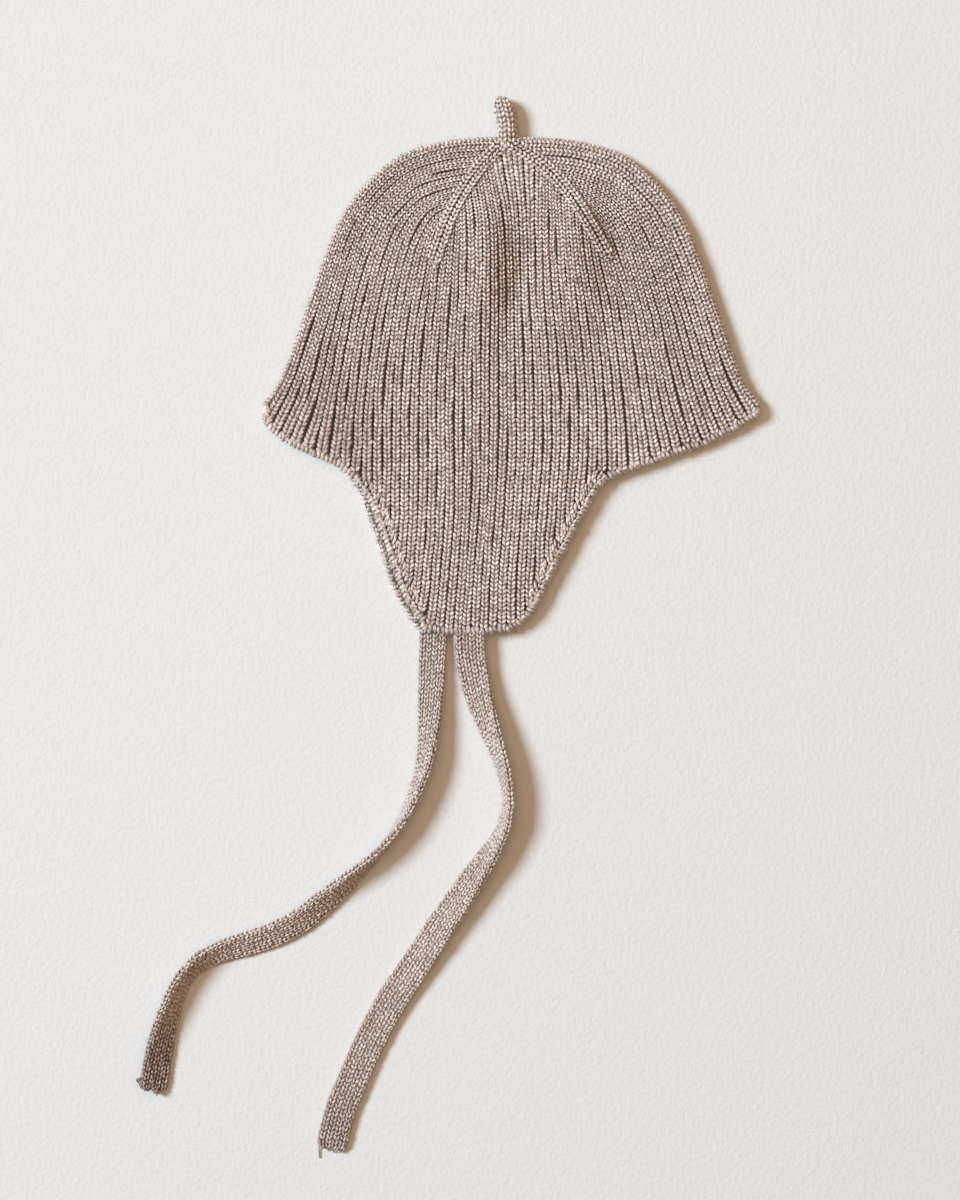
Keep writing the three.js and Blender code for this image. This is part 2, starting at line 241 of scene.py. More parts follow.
# %% Outline and cast-on edge, as shares of the half brim, the rise and the drop
FOLD_OUTLINE = np.array([
    (0, 1), (0.15, 0.997), (0.305, 0.978), (0.46, 0.926), (0.606, 0.807),
    (0.691, 0.689), (0.745, 0.57), (0.835, 0.333), (0.93, 0.096), (1, 0.008),
])
CAST_ON_EDGE = np.array([
    (-0.986, 0.063), (-0.93, 0.126), (-0.849, 0.176), (-0.769, 0.216), (-0.697, 0.252), (-0.641, 0.302),
    (-0.576, 0.396), (-0.528, 0.514), (-0.476, 0.685), (-0.428, 0.833), (-0.388, 0.905), (-0.345, 0.978),
    (-0.29, 1), (-0.086, 1), (-0.014, 0.991), (0.05, 0.95), (0.094, 0.887), (0.179, 0.698),
    (0.307, 0.428), (0.355, 0.338), (0.404, 0.302), (0.516, 0.257), (0.637, 0.207), (0.757, 0.162),
    (0.869, 0.104), (0.984, 0.026),
])
OUTLINE_STEPS = 900
OUTLINE_EXTRA = 14

fold_points = np.vstack([FOLD_OUTLINE[:0:-1] * [-1, 1], FOLD_OUTLINE]) * [HALF_BRIM, CROWN_RISE]
edge_points = CAST_ON_EDGE * [HALF_BRIM, -FLAP_DROP]
fold_trace = spline(fold_points, even_times(fold_points, OUTLINE_STEPS))
edge_trace = spline(edge_points, even_times(edge_points, OUTLINE_STEPS))


def longer_trace(trace, extra):
    """A trace carried on straight at both ends, with its direction and the direction into the hat."""
    step = np.linalg.norm(trace[1] - trace[0])
    run = np.arange(1, int(extra / step) + 1)[:, None] * step
    first = trace[0] + unit(trace[0] - trace[4]) * run[::-1]
    last = trace[-1] + unit(trace[-1] - trace[-5]) * run
    longer = np.vstack([first, trace, last])
    along = heading(longer)
    return longer, along, right_of(along)


FOLD_AT, FOLD_ALONG, FOLD_INWARD = longer_trace(fold_trace, OUTLINE_EXTRA)
EDGE_AT = np.vstack([fold_trace[0], edge_trace, fold_trace[-1]])
EDGE_COARSE = EDGE_AT[::6]
print(f"outline {lengths_along(fold_trace)[-1]:.0f} mm, cast-on edge {lengths_along(edge_trace)[-1]:.0f} mm")

# %% Nearest place on a trace
def nearest_on(trace, points, chunk=4000):
    """For each point, the number of the nearest point of a trace."""
    found = []
    for start in range(0, len(points), chunk):
        part = points[start:start + chunk]
        gap = (part[:, None, 0] - trace[None, :, 0]) ** 2 + (part[:, None, 1] - trace[None, :, 1]) ** 2
        found.append(gap.argmin(axis=1))
    return np.concatenate(found)


def to_fold(points):
    """Depth inside the fold, the foot on the fold and the direction inward, for points of the plan."""
    i = nearest_on(FOLD_AT, points)
    away = points - FOLD_AT[i]
    depth = (away * FOLD_INWARD[i]).sum(axis=1)
    slide = (away * FOLD_ALONG[i]).sum(axis=1)
    return depth, FOLD_AT[i] + FOLD_ALONG[i] * slide[:, None], FOLD_INWARD[i]

# %% [markdown]
# ## The two layers
# The crown is puffed up a little, with one shallow dent left of the middle. Soft bells added to a rising
# floor give just that, and the same bells shaped the solid, so stitches and solid agree. Only along the
# cast-on edge the knit is laid up to three millimetres lower than the solid, because the photograph's
# shadow is narrow there. `on_layer` takes a place in an unrolled plan, where the half round at the fold is
# laid flat, and gives the point and the direction out of the knitting. Laying stitches in that plan keeps
# them evenly wide right round the fold.

# %% Height of the hollow, and points on the knitted layers
# Each bell: place across, rise, half width and half height as shares of the hat, lift as a share of the puff,
# and how far it leans over to the right on its way up.
HILLS = [
    (-0.02, 0.5, 0.62, 0.42, 0.85, 0.0),
    (-0.15, 0.72, 0.1, 0.2, 0.2, 0.0),
    (0.01, 0.46, 0.08, 0.24, -0.4, 0.0),
    (0.19, 0.62, 0.11, 0.28, 0.28, 0.0),
]
# The wool's own soft folds, seen as light and dark in the photograph. The solid leaves these out.
SOFT_FOLDS = [
    (-0.110, 0.60, 0.090, 0.26, 0.55, 0.10),
    (0.075, 0.52, 0.070, 0.22, -0.66, 0.30),
    (0.250, 0.58, 0.110, 0.26, 0.46, 0.00),
    (0.400, 0.60, 0.080, 0.20, -0.18, 0.00),
    (0.690, 0.55, 0.140, 0.27, 0.58, 0.00),
    (-0.510, 0.58, 0.130, 0.30, -0.28, 0.00),
    (-0.720, 0.02, 0.300, 0.30, -0.35, 0.00),
]
QUARTER = math.pi / 2
ROLLED_OUT = (QUARTER - 1) * FOLD_RADIUS
EDGE_PRESS = 3.0
EDGE_PRESS_REACH = 15.0
LEFT_PRESS_SHARE = 0.2
FULL_PRESS_FROM_TO = (-45.0, 5.0)
FLAP_SHIFT_FROM_TO = (0.2, 0.5)


def pressed_down(points):
    """1 at the cast-on edge, where the wool's own weight closes the opening, and 0 further in."""
    away = np.linalg.norm(points - EDGE_COARSE[nearest_on(EDGE_COARSE, points)], axis=1)
    to_right = ramp(points[:, 0], *FULL_PRESS_FROM_TO)
    return (1 - ramp(away, 0, EDGE_PRESS_REACH)) * (LEFT_PRESS_SHARE + (1 - LEFT_PRESS_SHARE) * to_right)


def hollow_height(points, depth):
    """Gap between the two layers of the hat, for points of the plan and their depth inside the fold."""
    opened = np.full(len(points), MOUTH_GAP)
    for across, rise, wide, tall, lift, lean in HILLS + SOFT_FOLDS:
        above = points[:, 1] / CROWN_RISE - rise
        x = (points[:, 0] / HALF_BRIM - across - lean * above) / wide
        opened += CROWN_PUFF * lift * np.exp(-x * x - (above / tall) ** 2)
    gap = FOLD_GAP + (opened - FOLD_GAP) * ramp(depth, FOLD_RADIUS, FOLD_RADIUS + FOLD_SPREAD)
    return gap - pressed_down(points) * np.clip(gap - FOLD_GAP, 0, EDGE_PRESS)


def lower_shift(points):
    """How far the lower flap lies to the left of the upper one."""
    return -FLAP_OFFSET * ramp(-points[:, 1] / FLAP_DROP, *FLAP_SHIFT_FROM_TO)


def on_layer(points, upper=True, inner=False):
    """Points on a face of a layer, and the directions out of it, from places of the unrolled plan."""
    points = np.asarray(points, float)
    depth, foot, inward = to_fold(points)
    turn = np.minimum((depth + ROLLED_OUT) / FOLD_RADIUS, QUARTER)[:, None]
    round_part = turn[:, 0] < QUARTER
    side = 1 if upper else -1
    radius = FOLD_GAP / 2 if inner else FOLD_RADIUS
    at = np.zeros((len(points), 3))
    out = np.zeros((len(points), 3))
    at[:, :2] = np.where(round_part[:, None], foot + inward * (FOLD_RADIUS - radius * np.cos(turn)), points)
    out[:, :2] = -inward * np.cos(turn)
    out[:, 2] = side * np.sin(turn[:, 0])
    round_height = FOLD_RADIUS + side * radius * np.sin(turn[:, 0])
    if upper:
        face = WALL if inner else 2 * WALL
        top = face + hollow_height(points, depth)
        slopes = []
        for step in ((1.0, 0.0), (0.0, 1.0)):
            moved = points + step
            slopes.append(face + hollow_height(moved, to_fold(moved)[0]) - top)
        flat_out = unit(np.column_stack([-slopes[0], -slopes[1], np.ones(len(points))]))
        out[~round_part] = flat_out[~round_part]
        at[:, 2] = np.where(round_part, round_height, top)
    else:
        at[:, 2] = np.where(round_part, round_height, WALL if inner else 0)
        at[:, 0] += lower_shift(points)
    return at, out if not inner else -out


print("crown stands", round(float(on_layer([[0.0, 54.0]])[0][0, 2]), 1), "mm high at its middle")

# %% [markdown]
# ## One stitch
# Every knit stitch shows as a V: two legs of yarn that rise from one point, lean apart and tuck in under
# the next stitch. It could be a bump texture, but the light rakes across this rib, and only real yarn gives
# the dark gaps between its columns and the bright flecks on each leg. So a leg is a table of four places,
# and one function lays thousands of legs at once with numpy. A tube of six sides is round enough for yarn a
# millimetre thick.

# %% Tubes of yarn from arrays
def tube_pattern(rings, sides):
    """Quads of one closed tube, and for each corner its share of the way round the yarn and along it."""
    around = np.arange(sides)
    ahead = (around + 1) % sides
    quads, places = [], []
    for ring in range(rings - 1):
        here, there = ring * sides, (ring + 1) * sides
        quads.append(np.column_stack([here + around, here + ahead, there + ahead, there + around]))
        near, far = ring / (rings - 1), (ring + 1) / (rings - 1)
        for i in range(sides):
            left, right = i / sides, (i + 1) / sides
            places.append([(left, near), (right, near), (right, far), (left, far)])
    last = (rings - 1) * sides
    for i in range(1, sides - 2, 2):
        quads.append([[i + 2, i + 1, i, 0]])
        quads.append([[last, last + i, last + i + 1, last + i + 2]])
        places.append([(0.0, 0.0)] * 4)
        places.append([(0.0, 1.0)] * 4)
    return np.vstack(quads), np.array(places)


def yarn_tubes(centres, outs, radii, sides=6):
    """Short closed tubes as a bundle: the points of each, the quads of one, the places of their corners."""
    along = unit(np.gradient(centres, axis=1))
    across = unit(np.cross(outs, along))
    over = np.cross(along, across)
    turn = np.arange(sides)[:, None] * 2 * math.pi / sides
    spread = across[:, :, None] * np.cos(turn) + over[:, :, None] * np.sin(turn)
    points = centres[:, :, None] + spread * radii[:, :, None, None]
    tubes, rings = radii.shape
    pattern, places = tube_pattern(rings, sides)
    return points.reshape(tubes, rings * sides, 3), pattern, places + rng.random((tubes, 1, 1, 2)) * [1, 0]


def knit_line(at, out, width, mark):
    """A line for stitches: its points, directions out, column widths and the place of one stitch on it."""
    return {"at": at, "out": out, "width": width * np.ones(len(at)), "mark": mark}


KNIT_LEG = np.array([
    # across (share of the column), along (share of the stitch), height and thickness (shares of the yarn)
    (0.075, -0.42, -0.85, 0.74),
    (0.168, -0.12, -0.10, 1.00),
    (0.298, 0.20, -0.10, 1.00),
    (0.398, 0.53, -1.00, 0.76),
])
# The same leg with fewer places, for stitches that are hidden or small.
SIMPLE_LEG = np.array([
    (0.100, -0.40, -0.80, 0.75),
    (0.230, 0.05, -0.05, 1.05),
    (0.365, 0.53, -0.95, 0.75),
])
YARN_SHARE = 0.168
PLACE_SPREAD = 0.035
YARN_SPREAD = 0.04
SWAY_SPREAD = 0.018
LIFT_SPREAD = 0.09


def lay_stitches(line, stitch, sides=6, uneven=1.0, shape=KNIT_LEG, legs=(-1, 1), yarn_share=YARN_SHARE):
    """Stitches up a line, one bundle for each leg of the V."""
    gone = lengths_along(line["at"])
    across = unit(np.cross(heading(line["at"]), line["out"]))
    first = math.ceil(-line["mark"] / stitch - shape[0, 1])
    last = math.floor((gone[-1] - line["mark"]) / stitch - shape[-1, 1])
    count = max(0, last - first + 1)
    bundles = []
    for leg in legs:
        place = line["mark"] + (first + np.arange(count) + rng.normal(0, PLACE_SPREAD * uneven, count)) * stitch
        rings = place[:, None] + shape[:, 1] * stitch
        fields = (line["at"], line["out"], across)
        at, over, aside = (along_line(rings, gone, field) for field in fields)
        width = np.interp(rings, gone, line["width"])
        yarn = yarn_share * width * (1 + rng.normal(0, YARN_SPREAD * uneven, (count, 1)))
        sway = rng.normal(0, SWAY_SPREAD * uneven, (count, 1))
        lift = rng.normal(0, LIFT_SPREAD * uneven, (count, 1))
        centres = at + aside * ((leg * shape[:, 0] + sway) * width)[..., None]
        centres += over * ((shape[:, 2] + lift) * yarn)[..., None]
        bundles.append(yarn_tubes(centres, over, yarn * shape[:, 3], sides))
    return bundles


def oval_tube(at, out, half_width, half_height, sides=8, squareness=1.0):
    """One long closed tube of an oval section along a line, as a bundle."""
    across = unit(np.cross(out, heading(at)))
    turn = np.arange(sides) * 2 * math.pi / sides
    wide = np.sign(np.cos(turn)) * np.abs(np.cos(turn)) ** squareness * np.reshape(half_width, (-1, 1))
    high = np.sign(np.sin(turn)) * np.abs(np.sin(turn)) ** squareness * np.reshape(half_height, (-1, 1))
    rings = at[:, None] + across[:, None] * wide[..., None] + out[:, None] * high[..., None]
    pattern, places = tube_pattern(len(at), sides)
    return rings.reshape(1, -1, 3), pattern, places[None]


def piece_from(name, bundles, material, darkening=None):
    """One smooth mesh object from bundles of tubes in hat millimetres."""
    quads, start = [], 0
    for at, pattern, _ in bundles:
        tubes, size = at.shape[:2]
        quads.append((start + np.arange(tubes)[:, None, None] * size + pattern).reshape(-1, 4))
        start += tubes * size
    quads = np.vstack(quads)
    points = to_world(np.vstack([at.reshape(-1, 3) for at, _, _ in bundles]))
    places = np.vstack([spots.reshape(-1, 2) for _, _, spots in bundles])
    mesh = bpy.data.meshes.new(name)
    mesh.vertices.add(len(points))
    mesh.loops.add(quads.size)
    mesh.polygons.add(len(quads))
    mesh.vertices.foreach_set("co", points.ravel().astype(np.float32))
    mesh.polygons.foreach_set("loop_start", np.arange(0, quads.size, 4, dtype=np.int32))
    mesh.polygons.foreach_set("vertices", quads.ravel().astype(np.int32))
    mesh.polygons.foreach_set("use_smooth", np.ones(len(quads), bool))
    yarn_map = mesh.uv_layers.new(name="yarn")
    yarn_map.uv.foreach_set("vector", places.ravel().astype(np.float32))
    if darkening is not None:
        shade = mesh.attributes.new("darkening", "FLOAT", "POINT")
        shade.data.foreach_set("value", darkening(points / MM - [0.0, BRIM_Y, 0.0]).astype(np.float32))
    mesh.update(calc_edges=True)
    mesh.materials.append(material)
    obj = in_scene(name, mesh)
    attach(obj, "root")
    print(f"{name}: {2 * len(quads)} triangles")
    return obj

# %% [markdown]
# ## Wool, as node groups
# The yarn is a heathered grey-brown: pale and dark fibres are spun together, and it is plied, so each leg
# carries a slant of shade. Both effects are wanted on the stitches, on the ground behind them and on the
# ties, so each is a shader node group, built once and placed in each material with its own values.
# Photographed wool has hardly any gloss but a soft bright rim, which is the sheen of fibres that stand off
# the yarn.

# %% Helpers for node trees
def set_inputs(tree, made, values):
    """Inputs of a node, by name or number, each set to a value or linked to an output."""
    for key, value in values.items():
        if isinstance(value, bpy.types.NodeSocket):
            tree.links.new(value, made.inputs[key])
        else:
            made.inputs[key].default_value = value


def node(tree, kind, values=None, **settings):
    """A new node with its settings and the values of its inputs."""
    made = tree.nodes.new(kind)
    for setting, value in settings.items():
        setattr(made, setting, value)
    set_inputs(tree, made, values or {})
    return made


def math_node(tree, operation, first, second=0.0):
    """Result of a Math node of two numbers or sockets."""
    return node(tree, "ShaderNodeMath", {0: first, 1: second}, operation=operation).outputs["Value"]


def blend_colours(tree, share, first, second):
    """Result of a Mix node of two colours or sockets."""
    return node(tree, "ShaderNodeMix", {0: share, 6: first, 7: second}, data_type="RGBA").outputs[2]


def object_noise(tree, scale, detail, roughness=0.5):
    """Noise that is fixed to the object."""
    place = node(tree, "ShaderNodeTexCoord").outputs["Object"]
    values = {"Vector": place, "Scale": scale, "Detail": detail, "Roughness": roughness}
    return node(tree, "ShaderNodeTexNoise", values).outputs["Fac"]


def yarn_place(tree):
    """Two sockets: the share round the yarn, and the share along its leg."""
    place = node(tree, "ShaderNodeUVMap", uv_map="yarn").outputs["UV"]
    parts = node(tree, "ShaderNodeSeparateXYZ", {"Vector": place})
    return parts.outputs["X"], parts.outputs["Y"]


def new_group(name, inputs, output, output_kind):
    """An empty shader node group with one output, its inner ends and its inputs' values."""
    group = bpy.data.node_groups.new(name, "ShaderNodeTree")
    for socket_name, value in inputs.items():
        kind = "NodeSocketFloat" if isinstance(value, float) else "NodeSocketColor"
        group.interface.new_socket(name=socket_name, in_out="INPUT", socket_type=kind).default_value = value
    group.interface.new_socket(name=output, in_out="OUTPUT", socket_type=output_kind)
    print("node group:", name)
    return group, group.nodes.new("NodeGroupInput").outputs, group.nodes.new("NodeGroupOutput").inputs


def new_material(name):
    """A new material, its node tree and its Principled shader."""
    material = bpy.data.materials.new(name)
    material.use_nodes = True
    return material, material.node_tree, material.node_tree.nodes["Principled BSDF"]

# %% Group: heathered wool colour, with painted shade
FIBRE_PART = 0.55
PATCH_PART = 0.45
TUCK_SHADE_POWER = 2.5
TUCK_SHADE_BROWN = (0.05, 0.02, 0.012, 1)
SHADE_BROWN = (0.07, 0.018, 0.014, 1)

heather, heather_in, heather_out = new_group("heathered_wool_and_painted_shade", {
    "Pale wool": (0.55, 0.43, 0.36, 1),
    "Dark wool": (0.25, 0.18, 0.14, 1),
    "Fibre scale": 1500.0,
    "Patch scale": 45.0,
    "Stitch": 0.5,
    "Stitch share": 0.3,
    "Tuck shade": 0.0,
}, "Colour", "NodeSocketColor")
fibre_noise = object_noise(heather, heather_in["Fibre scale"], 3.0, 0.7)
fibre_range = node(heather, "ShaderNodeMapRange", {"Value": fibre_noise, "From Min": 0.36, "From Max": 0.64})
fibres = math_node(heather, "MULTIPLY", fibre_range.outputs["Result"], FIBRE_PART)
patches = math_node(heather, "MULTIPLY", object_noise(heather, heather_in["Patch scale"], 2.0), PATCH_PART)
own_shade = math_node(heather, "SUBTRACT", heather_in["Stitch"], 0.5)
own_shade = math_node(heather, "MULTIPLY", own_shade, heather_in["Stitch share"])
mixed = math_node(heather, "ADD", math_node(heather, "ADD", fibres, patches), own_shade)
wool_colour = blend_colours(heather, mixed, heather_in["Dark wool"], heather_in["Pale wool"])
# Painted shade: each leg turns darker towards both ends, where it tucks under the next stitch.
along_leg = yarn_place(heather)[1]
from_middle = math_node(heather, "MULTIPLY", math_node(heather, "SUBTRACT", along_leg, 0.5), 2.0)
near_ends = math_node(heather, "POWER", math_node(heather, "ABSOLUTE", from_middle), TUCK_SHADE_POWER)
tucked = math_node(heather, "MULTIPLY", near_ends, heather_in["Tuck shade"])
tuck_shaded_colour = blend_colours(heather, tucked, wool_colour, TUCK_SHADE_BROWN)
# The "darkening" attribute of a piece blends in painted shade, towards a dark brown.
darkened = node(heather, "ShaderNodeAttribute", attribute_name="darkening").outputs["Fac"]
heather.links.new(blend_colours(heather, darkened, tuck_shaded_colour, SHADE_BROWN), heather_out["Colour"])

# %% Group: the twist of plied yarn, as a height
PLY_HEIGHT = 0.5
HAIR_HEIGHT = 0.9

twist, twist_in, twist_out = new_group(
    "plied_twist", {"Plies": 2.0, "Turns": 1.3, "Hair scale": 2600.0}, "Height", "NodeSocketFloat")
around_leg, along_leg = yarn_place(twist)
around_part = math_node(twist, "MULTIPLY", around_leg, twist_in["Plies"])
along_part = math_node(twist, "MULTIPLY", along_leg, twist_in["Turns"])
phase = math_node(twist, "MULTIPLY", math_node(twist, "ADD", around_part, along_part), 2 * math.pi)
ply_part = math_node(twist, "MULTIPLY", math_node(twist, "SINE", phase), PLY_HEIGHT)
hair_part = math_node(twist, "MULTIPLY", object_noise(twist, twist_in["Hair scale"], 2.0), HAIR_HEIGHT)
twist.links.new(math_node(twist, "ADD", ply_part, hair_part), twist_out["Height"])

# %% Materials of the knit
TWIST_DEPTH = 0.0004
MATT = {"Roughness": 0.9, "Specular IOR Level": 0.2, "Sheen Roughness": 0.5}


def wool_material(name, pale, dark, stitch_share=0.0, tuck=0.0, bump=0.6, sheen=0.0):
    """Wool: heathered colour, painted shade where a leg tucks in, plied bump, matt with a soft sheen."""
    material, tree, shader = new_material(name)
    colour = node(tree, "ShaderNodeGroup", {
        "Pale wool": (*pale, 1),
        "Dark wool": (*dark, 1),
        "Stitch": node(tree, "ShaderNodeNewGeometry").outputs["Random Per Island"],
        "Stitch share": stitch_share,
        "Tuck shade": tuck,
    }, node_tree=heather)
    height = node(tree, "ShaderNodeGroup", node_tree=twist).outputs["Height"]
    relief = node(tree, "ShaderNodeBump", {"Height": height, "Strength": bump, "Distance": TWIST_DEPTH})
    set_inputs(tree, shader, {
        **MATT,
        "Base Color": colour.outputs["Colour"],
        "Normal": relief.outputs["Normal"],
        "Sheen Weight": sheen,
    })
    return material


stitch_wool = wool_material(
    "stitch_wool", (1.0, 0.88, 0.83), (0.50, 0.385, 0.33), stitch_share=0.6, tuck=0.75, bump=0.7, sheen=0.2)
# The two wools below are darker copies of the stitch wool: painted shade on the yarn behind the Vs and on the
# sunken ground.
shaded_back_wool = wool_material("shaded_back_wool", (0.50, 0.375, 0.31), (0.25, 0.17, 0.135))
shaded_ground_wool = wool_material("shaded_ground_wool", (0.18, 0.12, 0.09), (0.09, 0.055, 0.04))
tie_wool = wool_material(
    "tie_wool", (0.88, 0.76, 0.70), (0.47, 0.36, 0.30), stitch_share=0.5, tuck=0.6, bump=0.7, sheen=0.15)
print("materials:", stitch_wool.name, shaded_back_wool.name, shaded_ground_wool.name, tie_wool.name)

# %% [markdown]
# ## Columns of stitches
# The hat has fifty-three columns across each layer. From the brim they run up nearly straight, and they fan
# out to the corners. In the side parts of the crown they follow the outline round to the top, because that
# is where the knitter narrowed the hat along two lines. A drawing of each column would be long and stiff.
# Instead a short table says how far the columns lean at a few places, as read from the photograph, and each
# column is grown step by step along that lean, the way iron filings follow a field. Near a fold, and high
# in the sides, the lean is the outline's.

# %% Where the columns start, and how they lean
COLUMNS = 53
LEFT_SIDE_COLUMNS = 16
RIGHT_SIDE_COLUMNS = 14
START_RISE = 8.0
START_HALF_MIDDLE = 92.3
START_HALF_FOLD = 96.4
COLUMN_STEP = 0.8
STEPS_DOWN = 135
STEPS_UP = 290
OUTLINE_LEAN_RISE = (58.0, 84.0)
OUTLINE_LEAN_REACH = 7.0

LEAN_STEP = 16.0
LEAN_ACROSS = np.arange(-85.0, 92.0, LEAN_STEP)
LEAN_RISE = np.array([-80.0, -68.0, -48.0, -28.0, -8.0, 12.0, 32.0, 52.0, 68.0, 84.0, 98.0])
# Degrees that a column leans to the right, a row for each rise above.
LEAN = np.array([
    (9, 9, 9, 9, 5, 1, -4, -9, -9, -9, -9, -9),
    (7, 7, 7, 7, 5, 3, 2, 0, 0, 0, 0, 0),
    (4, 4, 4, 3, 4, 5, 4, 3, 0, 0, -4, -8),
    (10, 2, 0, 0, 0, 3, 5, 5, 2, -8, -16, -22),
    (24, 6, 0, 0, 0, 0, 0, 0, -4, -14, -20, -26),
    (17, 9, 6, 3, 0, 0, -3, -5, -7, -11, -18, -22),
    (19, 11, 9, 8, 3, 0, -5, -8, -9, -13, -17, -19),
    (20, 17, 15, 12, 3, 0, -2, -9, -17, -19, -19, -20),
    (21, 21, 23, 17, 0, -4, 0, -5, -18, -24, -23, -22),
    (21, 22, 25, 14, -6, -12, 0, 0, -18, -26, -23, -22),
    (21, 22, 25, 10, -14, -10, 5, 6, -12, -26, -23, -22),
], float)


def lean_at(points):
    """Lean of the columns at places of the plan, in radians."""
    i = np.clip((points[:, 0] - LEAN_ACROSS[0]) / LEAN_STEP, 0, len(LEAN_ACROSS) - 1.001)
    j = np.interp(points[:, 1], LEAN_RISE, np.arange(len(LEAN_RISE)) * 0.9999)
    a, b = i.astype(int), j.astype(int)
    s, t = i - a, j - b
    low = LEAN[b, a] * (1 - s) + LEAN[b, a + 1] * s
    high = LEAN[b + 1, a] * (1 - s) + LEAN[b + 1, a + 1] * s
    return np.radians(low * (1 - t) + high * t)


def way_up(points, side):
    """Direction up the columns: the table's lean, and high up or near the fold of a side the outline's."""
    lean = lean_at(points)
    leaning = np.column_stack([np.sin(lean), np.cos(lean)])
    depth, _, inward = to_fold(points)
    beside = right_of(inward) * np.sign(side)[:, None]
    high = ramp(points[:, 1], *OUTLINE_LEAN_RISE)
    near_fold = np.exp(-np.maximum(depth, 0) / OUTLINE_LEAN_REACH)
    share = (np.maximum(high, near_fold) * np.abs(side))[:, None]
    return unit(leaning * (1 - share) + beside * share)


def grown(starts, side, steps, way):
    """Places that columns pass as they grow from their starts, up (1) or down (-1)."""
    rows = [starts]
    for _ in range(steps):
        rows.append(rows[-1] + way * COLUMN_STEP * way_up(rows[-1], side))
    return np.array(rows)


def starts_of(numbers):
    """Places where columns start, at the same rise."""
    share = 2 * numbers / COLUMNS - 1
    stretched = np.sign(share) * np.abs(share) ** 5
    across = share * START_HALF_MIDDLE + stretched * (START_HALF_FOLD - START_HALF_MIDDLE)
    return np.column_stack([across, np.full(len(numbers), START_RISE)])


column_numbers = np.arange(COLUMNS) + 0.5
part_of_crown = np.where(
    column_numbers < LEFT_SIDE_COLUMNS, -1, np.where(column_numbers > COLUMNS - RIGHT_SIDE_COLUMNS, 1, 0))
halves = {}
for name, shift in (("left", -0.5), ("middle", 0.0), ("right", 0.5)):
    starts = starts_of(column_numbers + shift)
    down = grown(starts, part_of_crown, STEPS_DOWN, -1)[::-1]
    up = grown(starts, part_of_crown, STEPS_UP, 1)[1:]
    halves[name] = np.concatenate([down, up]).transpose(1, 0, 2)
print(f"columns start {np.diff(starts_of(np.array([26.0, 27.0]))[:, 0])[0]:.2f} mm apart in the middle")

# %% [markdown]
# ## Where a column starts and ends
# At the bottom a column starts at the cast-on edge, but along the two slanted sides of the flap it starts
# further in, behind a band of selvedge stitches. At the top it ends where it meets one of the two ridges of
# the crown. The ridges are curves again, up to three millimetres nearer to the middle than in the solid, as
# the photograph shows them. No hand keeps wool in perfect lines, so each column also wanders a little to
# the sides. High in the crown the rib is drawn together, so the columns are fuller there.

# %% Ridges, and the ends of the columns
LEFT_RIDGE = np.array([
    (-0.036, 0.994), (-0.052, 0.962), (-0.120, 0.893),
    (-0.186, 0.8), (-0.244, 0.696), (-0.302, 0.555),
])
RIGHT_RIDGE = np.array([
    (-0.030, 0.996), (-0.008, 0.978), (0.042, 0.952), (0.143, 0.881),
    (0.226, 0.789), (0.296, 0.681), (0.364, 0.575),
])
RIDGE_STEPS = 60
RIDGE_ROOM = 1.3
RIDGE_FOOT_ROOM = 1.5
APEX_ROOM = 2.0
EDGE_ROOM = 0.5
SELVEDGE_ROOM = 3.0
MIDDLE_TOP = 104.0
LEFT_SLANT = (-62.5, -37.5)
RIGHT_SLANT = (9.0, 39.0)
LEVEL_ROW = 20.0
LOWER_LIFT = 0.9
SLANT_BLEND = 5.0
NARROWEST_COLUMN = 1.9
FULLER_RISE = (10.0, 65.0)
FULLER_DROP = (5.0, 40.0)
WANDER_STEPS = 12
WANDER_ASIDE = 0.16
WANDER_WIDTH = 0.03


def ridge_plan(table):
    """Places of a ridge from the apex down, in the plan."""
    points = table * [HALF_BRIM, CROWN_RISE]
    return spline(points, even_times(points, RIDGE_STEPS))


left_ridge, right_ridge = ridge_plan(LEFT_RIDGE), ridge_plan(RIGHT_RIDGE)
RIDGE_FOOT = min(left_ridge[-1, 1], right_ridge[-1, 1])


def ridge_across(ridge, rise):
    """Place across the hat of a ridge at a rise."""
    return np.interp(rise, ridge[::-1, 1], ridge[::-1, 0])


def band_between(value, limits):
    """1 between two values, 0 outside, with soft ends."""
    low, high = limits
    half = SLANT_BLEND / 2
    return ramp(value, low - half, low + half) * (1 - ramp(value, high - half, high + half))


def edge_room(points):
    """Distance of places from the edge, less the room that its own stitches take."""
    nearest = nearest_on(EDGE_AT, points)
    away = np.linalg.norm(points - EDGE_AT[nearest], axis=1)
    above = points[:, 1] > np.interp(points[:, 0], EDGE_AT[:, 0], EDGE_AT[:, 1])
    across = EDGE_AT[nearest, 0]
    slant = band_between(across, LEFT_SLANT) + band_between(across, RIGHT_SLANT)
    return np.where(above, away, -away) - EDGE_ROOM - (SELVEDGE_ROOM - EDGE_ROOM) * slant


def past_ridge(points, side):
    """True where a column of a part of the crown has met its ridge or the apex."""
    x, y = points.T
    left, right = ridge_across(left_ridge, y), ridge_across(right_ridge, y)
    high = y > RIDGE_FOOT + RIDGE_FOOT_ROOM
    if side < 0:
        return high & (x > np.minimum(left - RIDGE_ROOM, -APEX_ROOM))
    if side > 0:
        return high & (x < np.maximum(right + RIDGE_ROOM, APEX_ROOM))
    return high & ((x < left + RIDGE_ROOM) | (x > right - RIDGE_ROOM) | (y > MIDDLE_TOP))


def wandering(count, reach):
    """Soft random wandering along a line."""
    loose = rng.normal(0, 1, count // WANDER_STEPS + 4)
    return reach * np.interp(np.arange(count) / WANDER_STEPS, np.arange(len(loose)), loose)


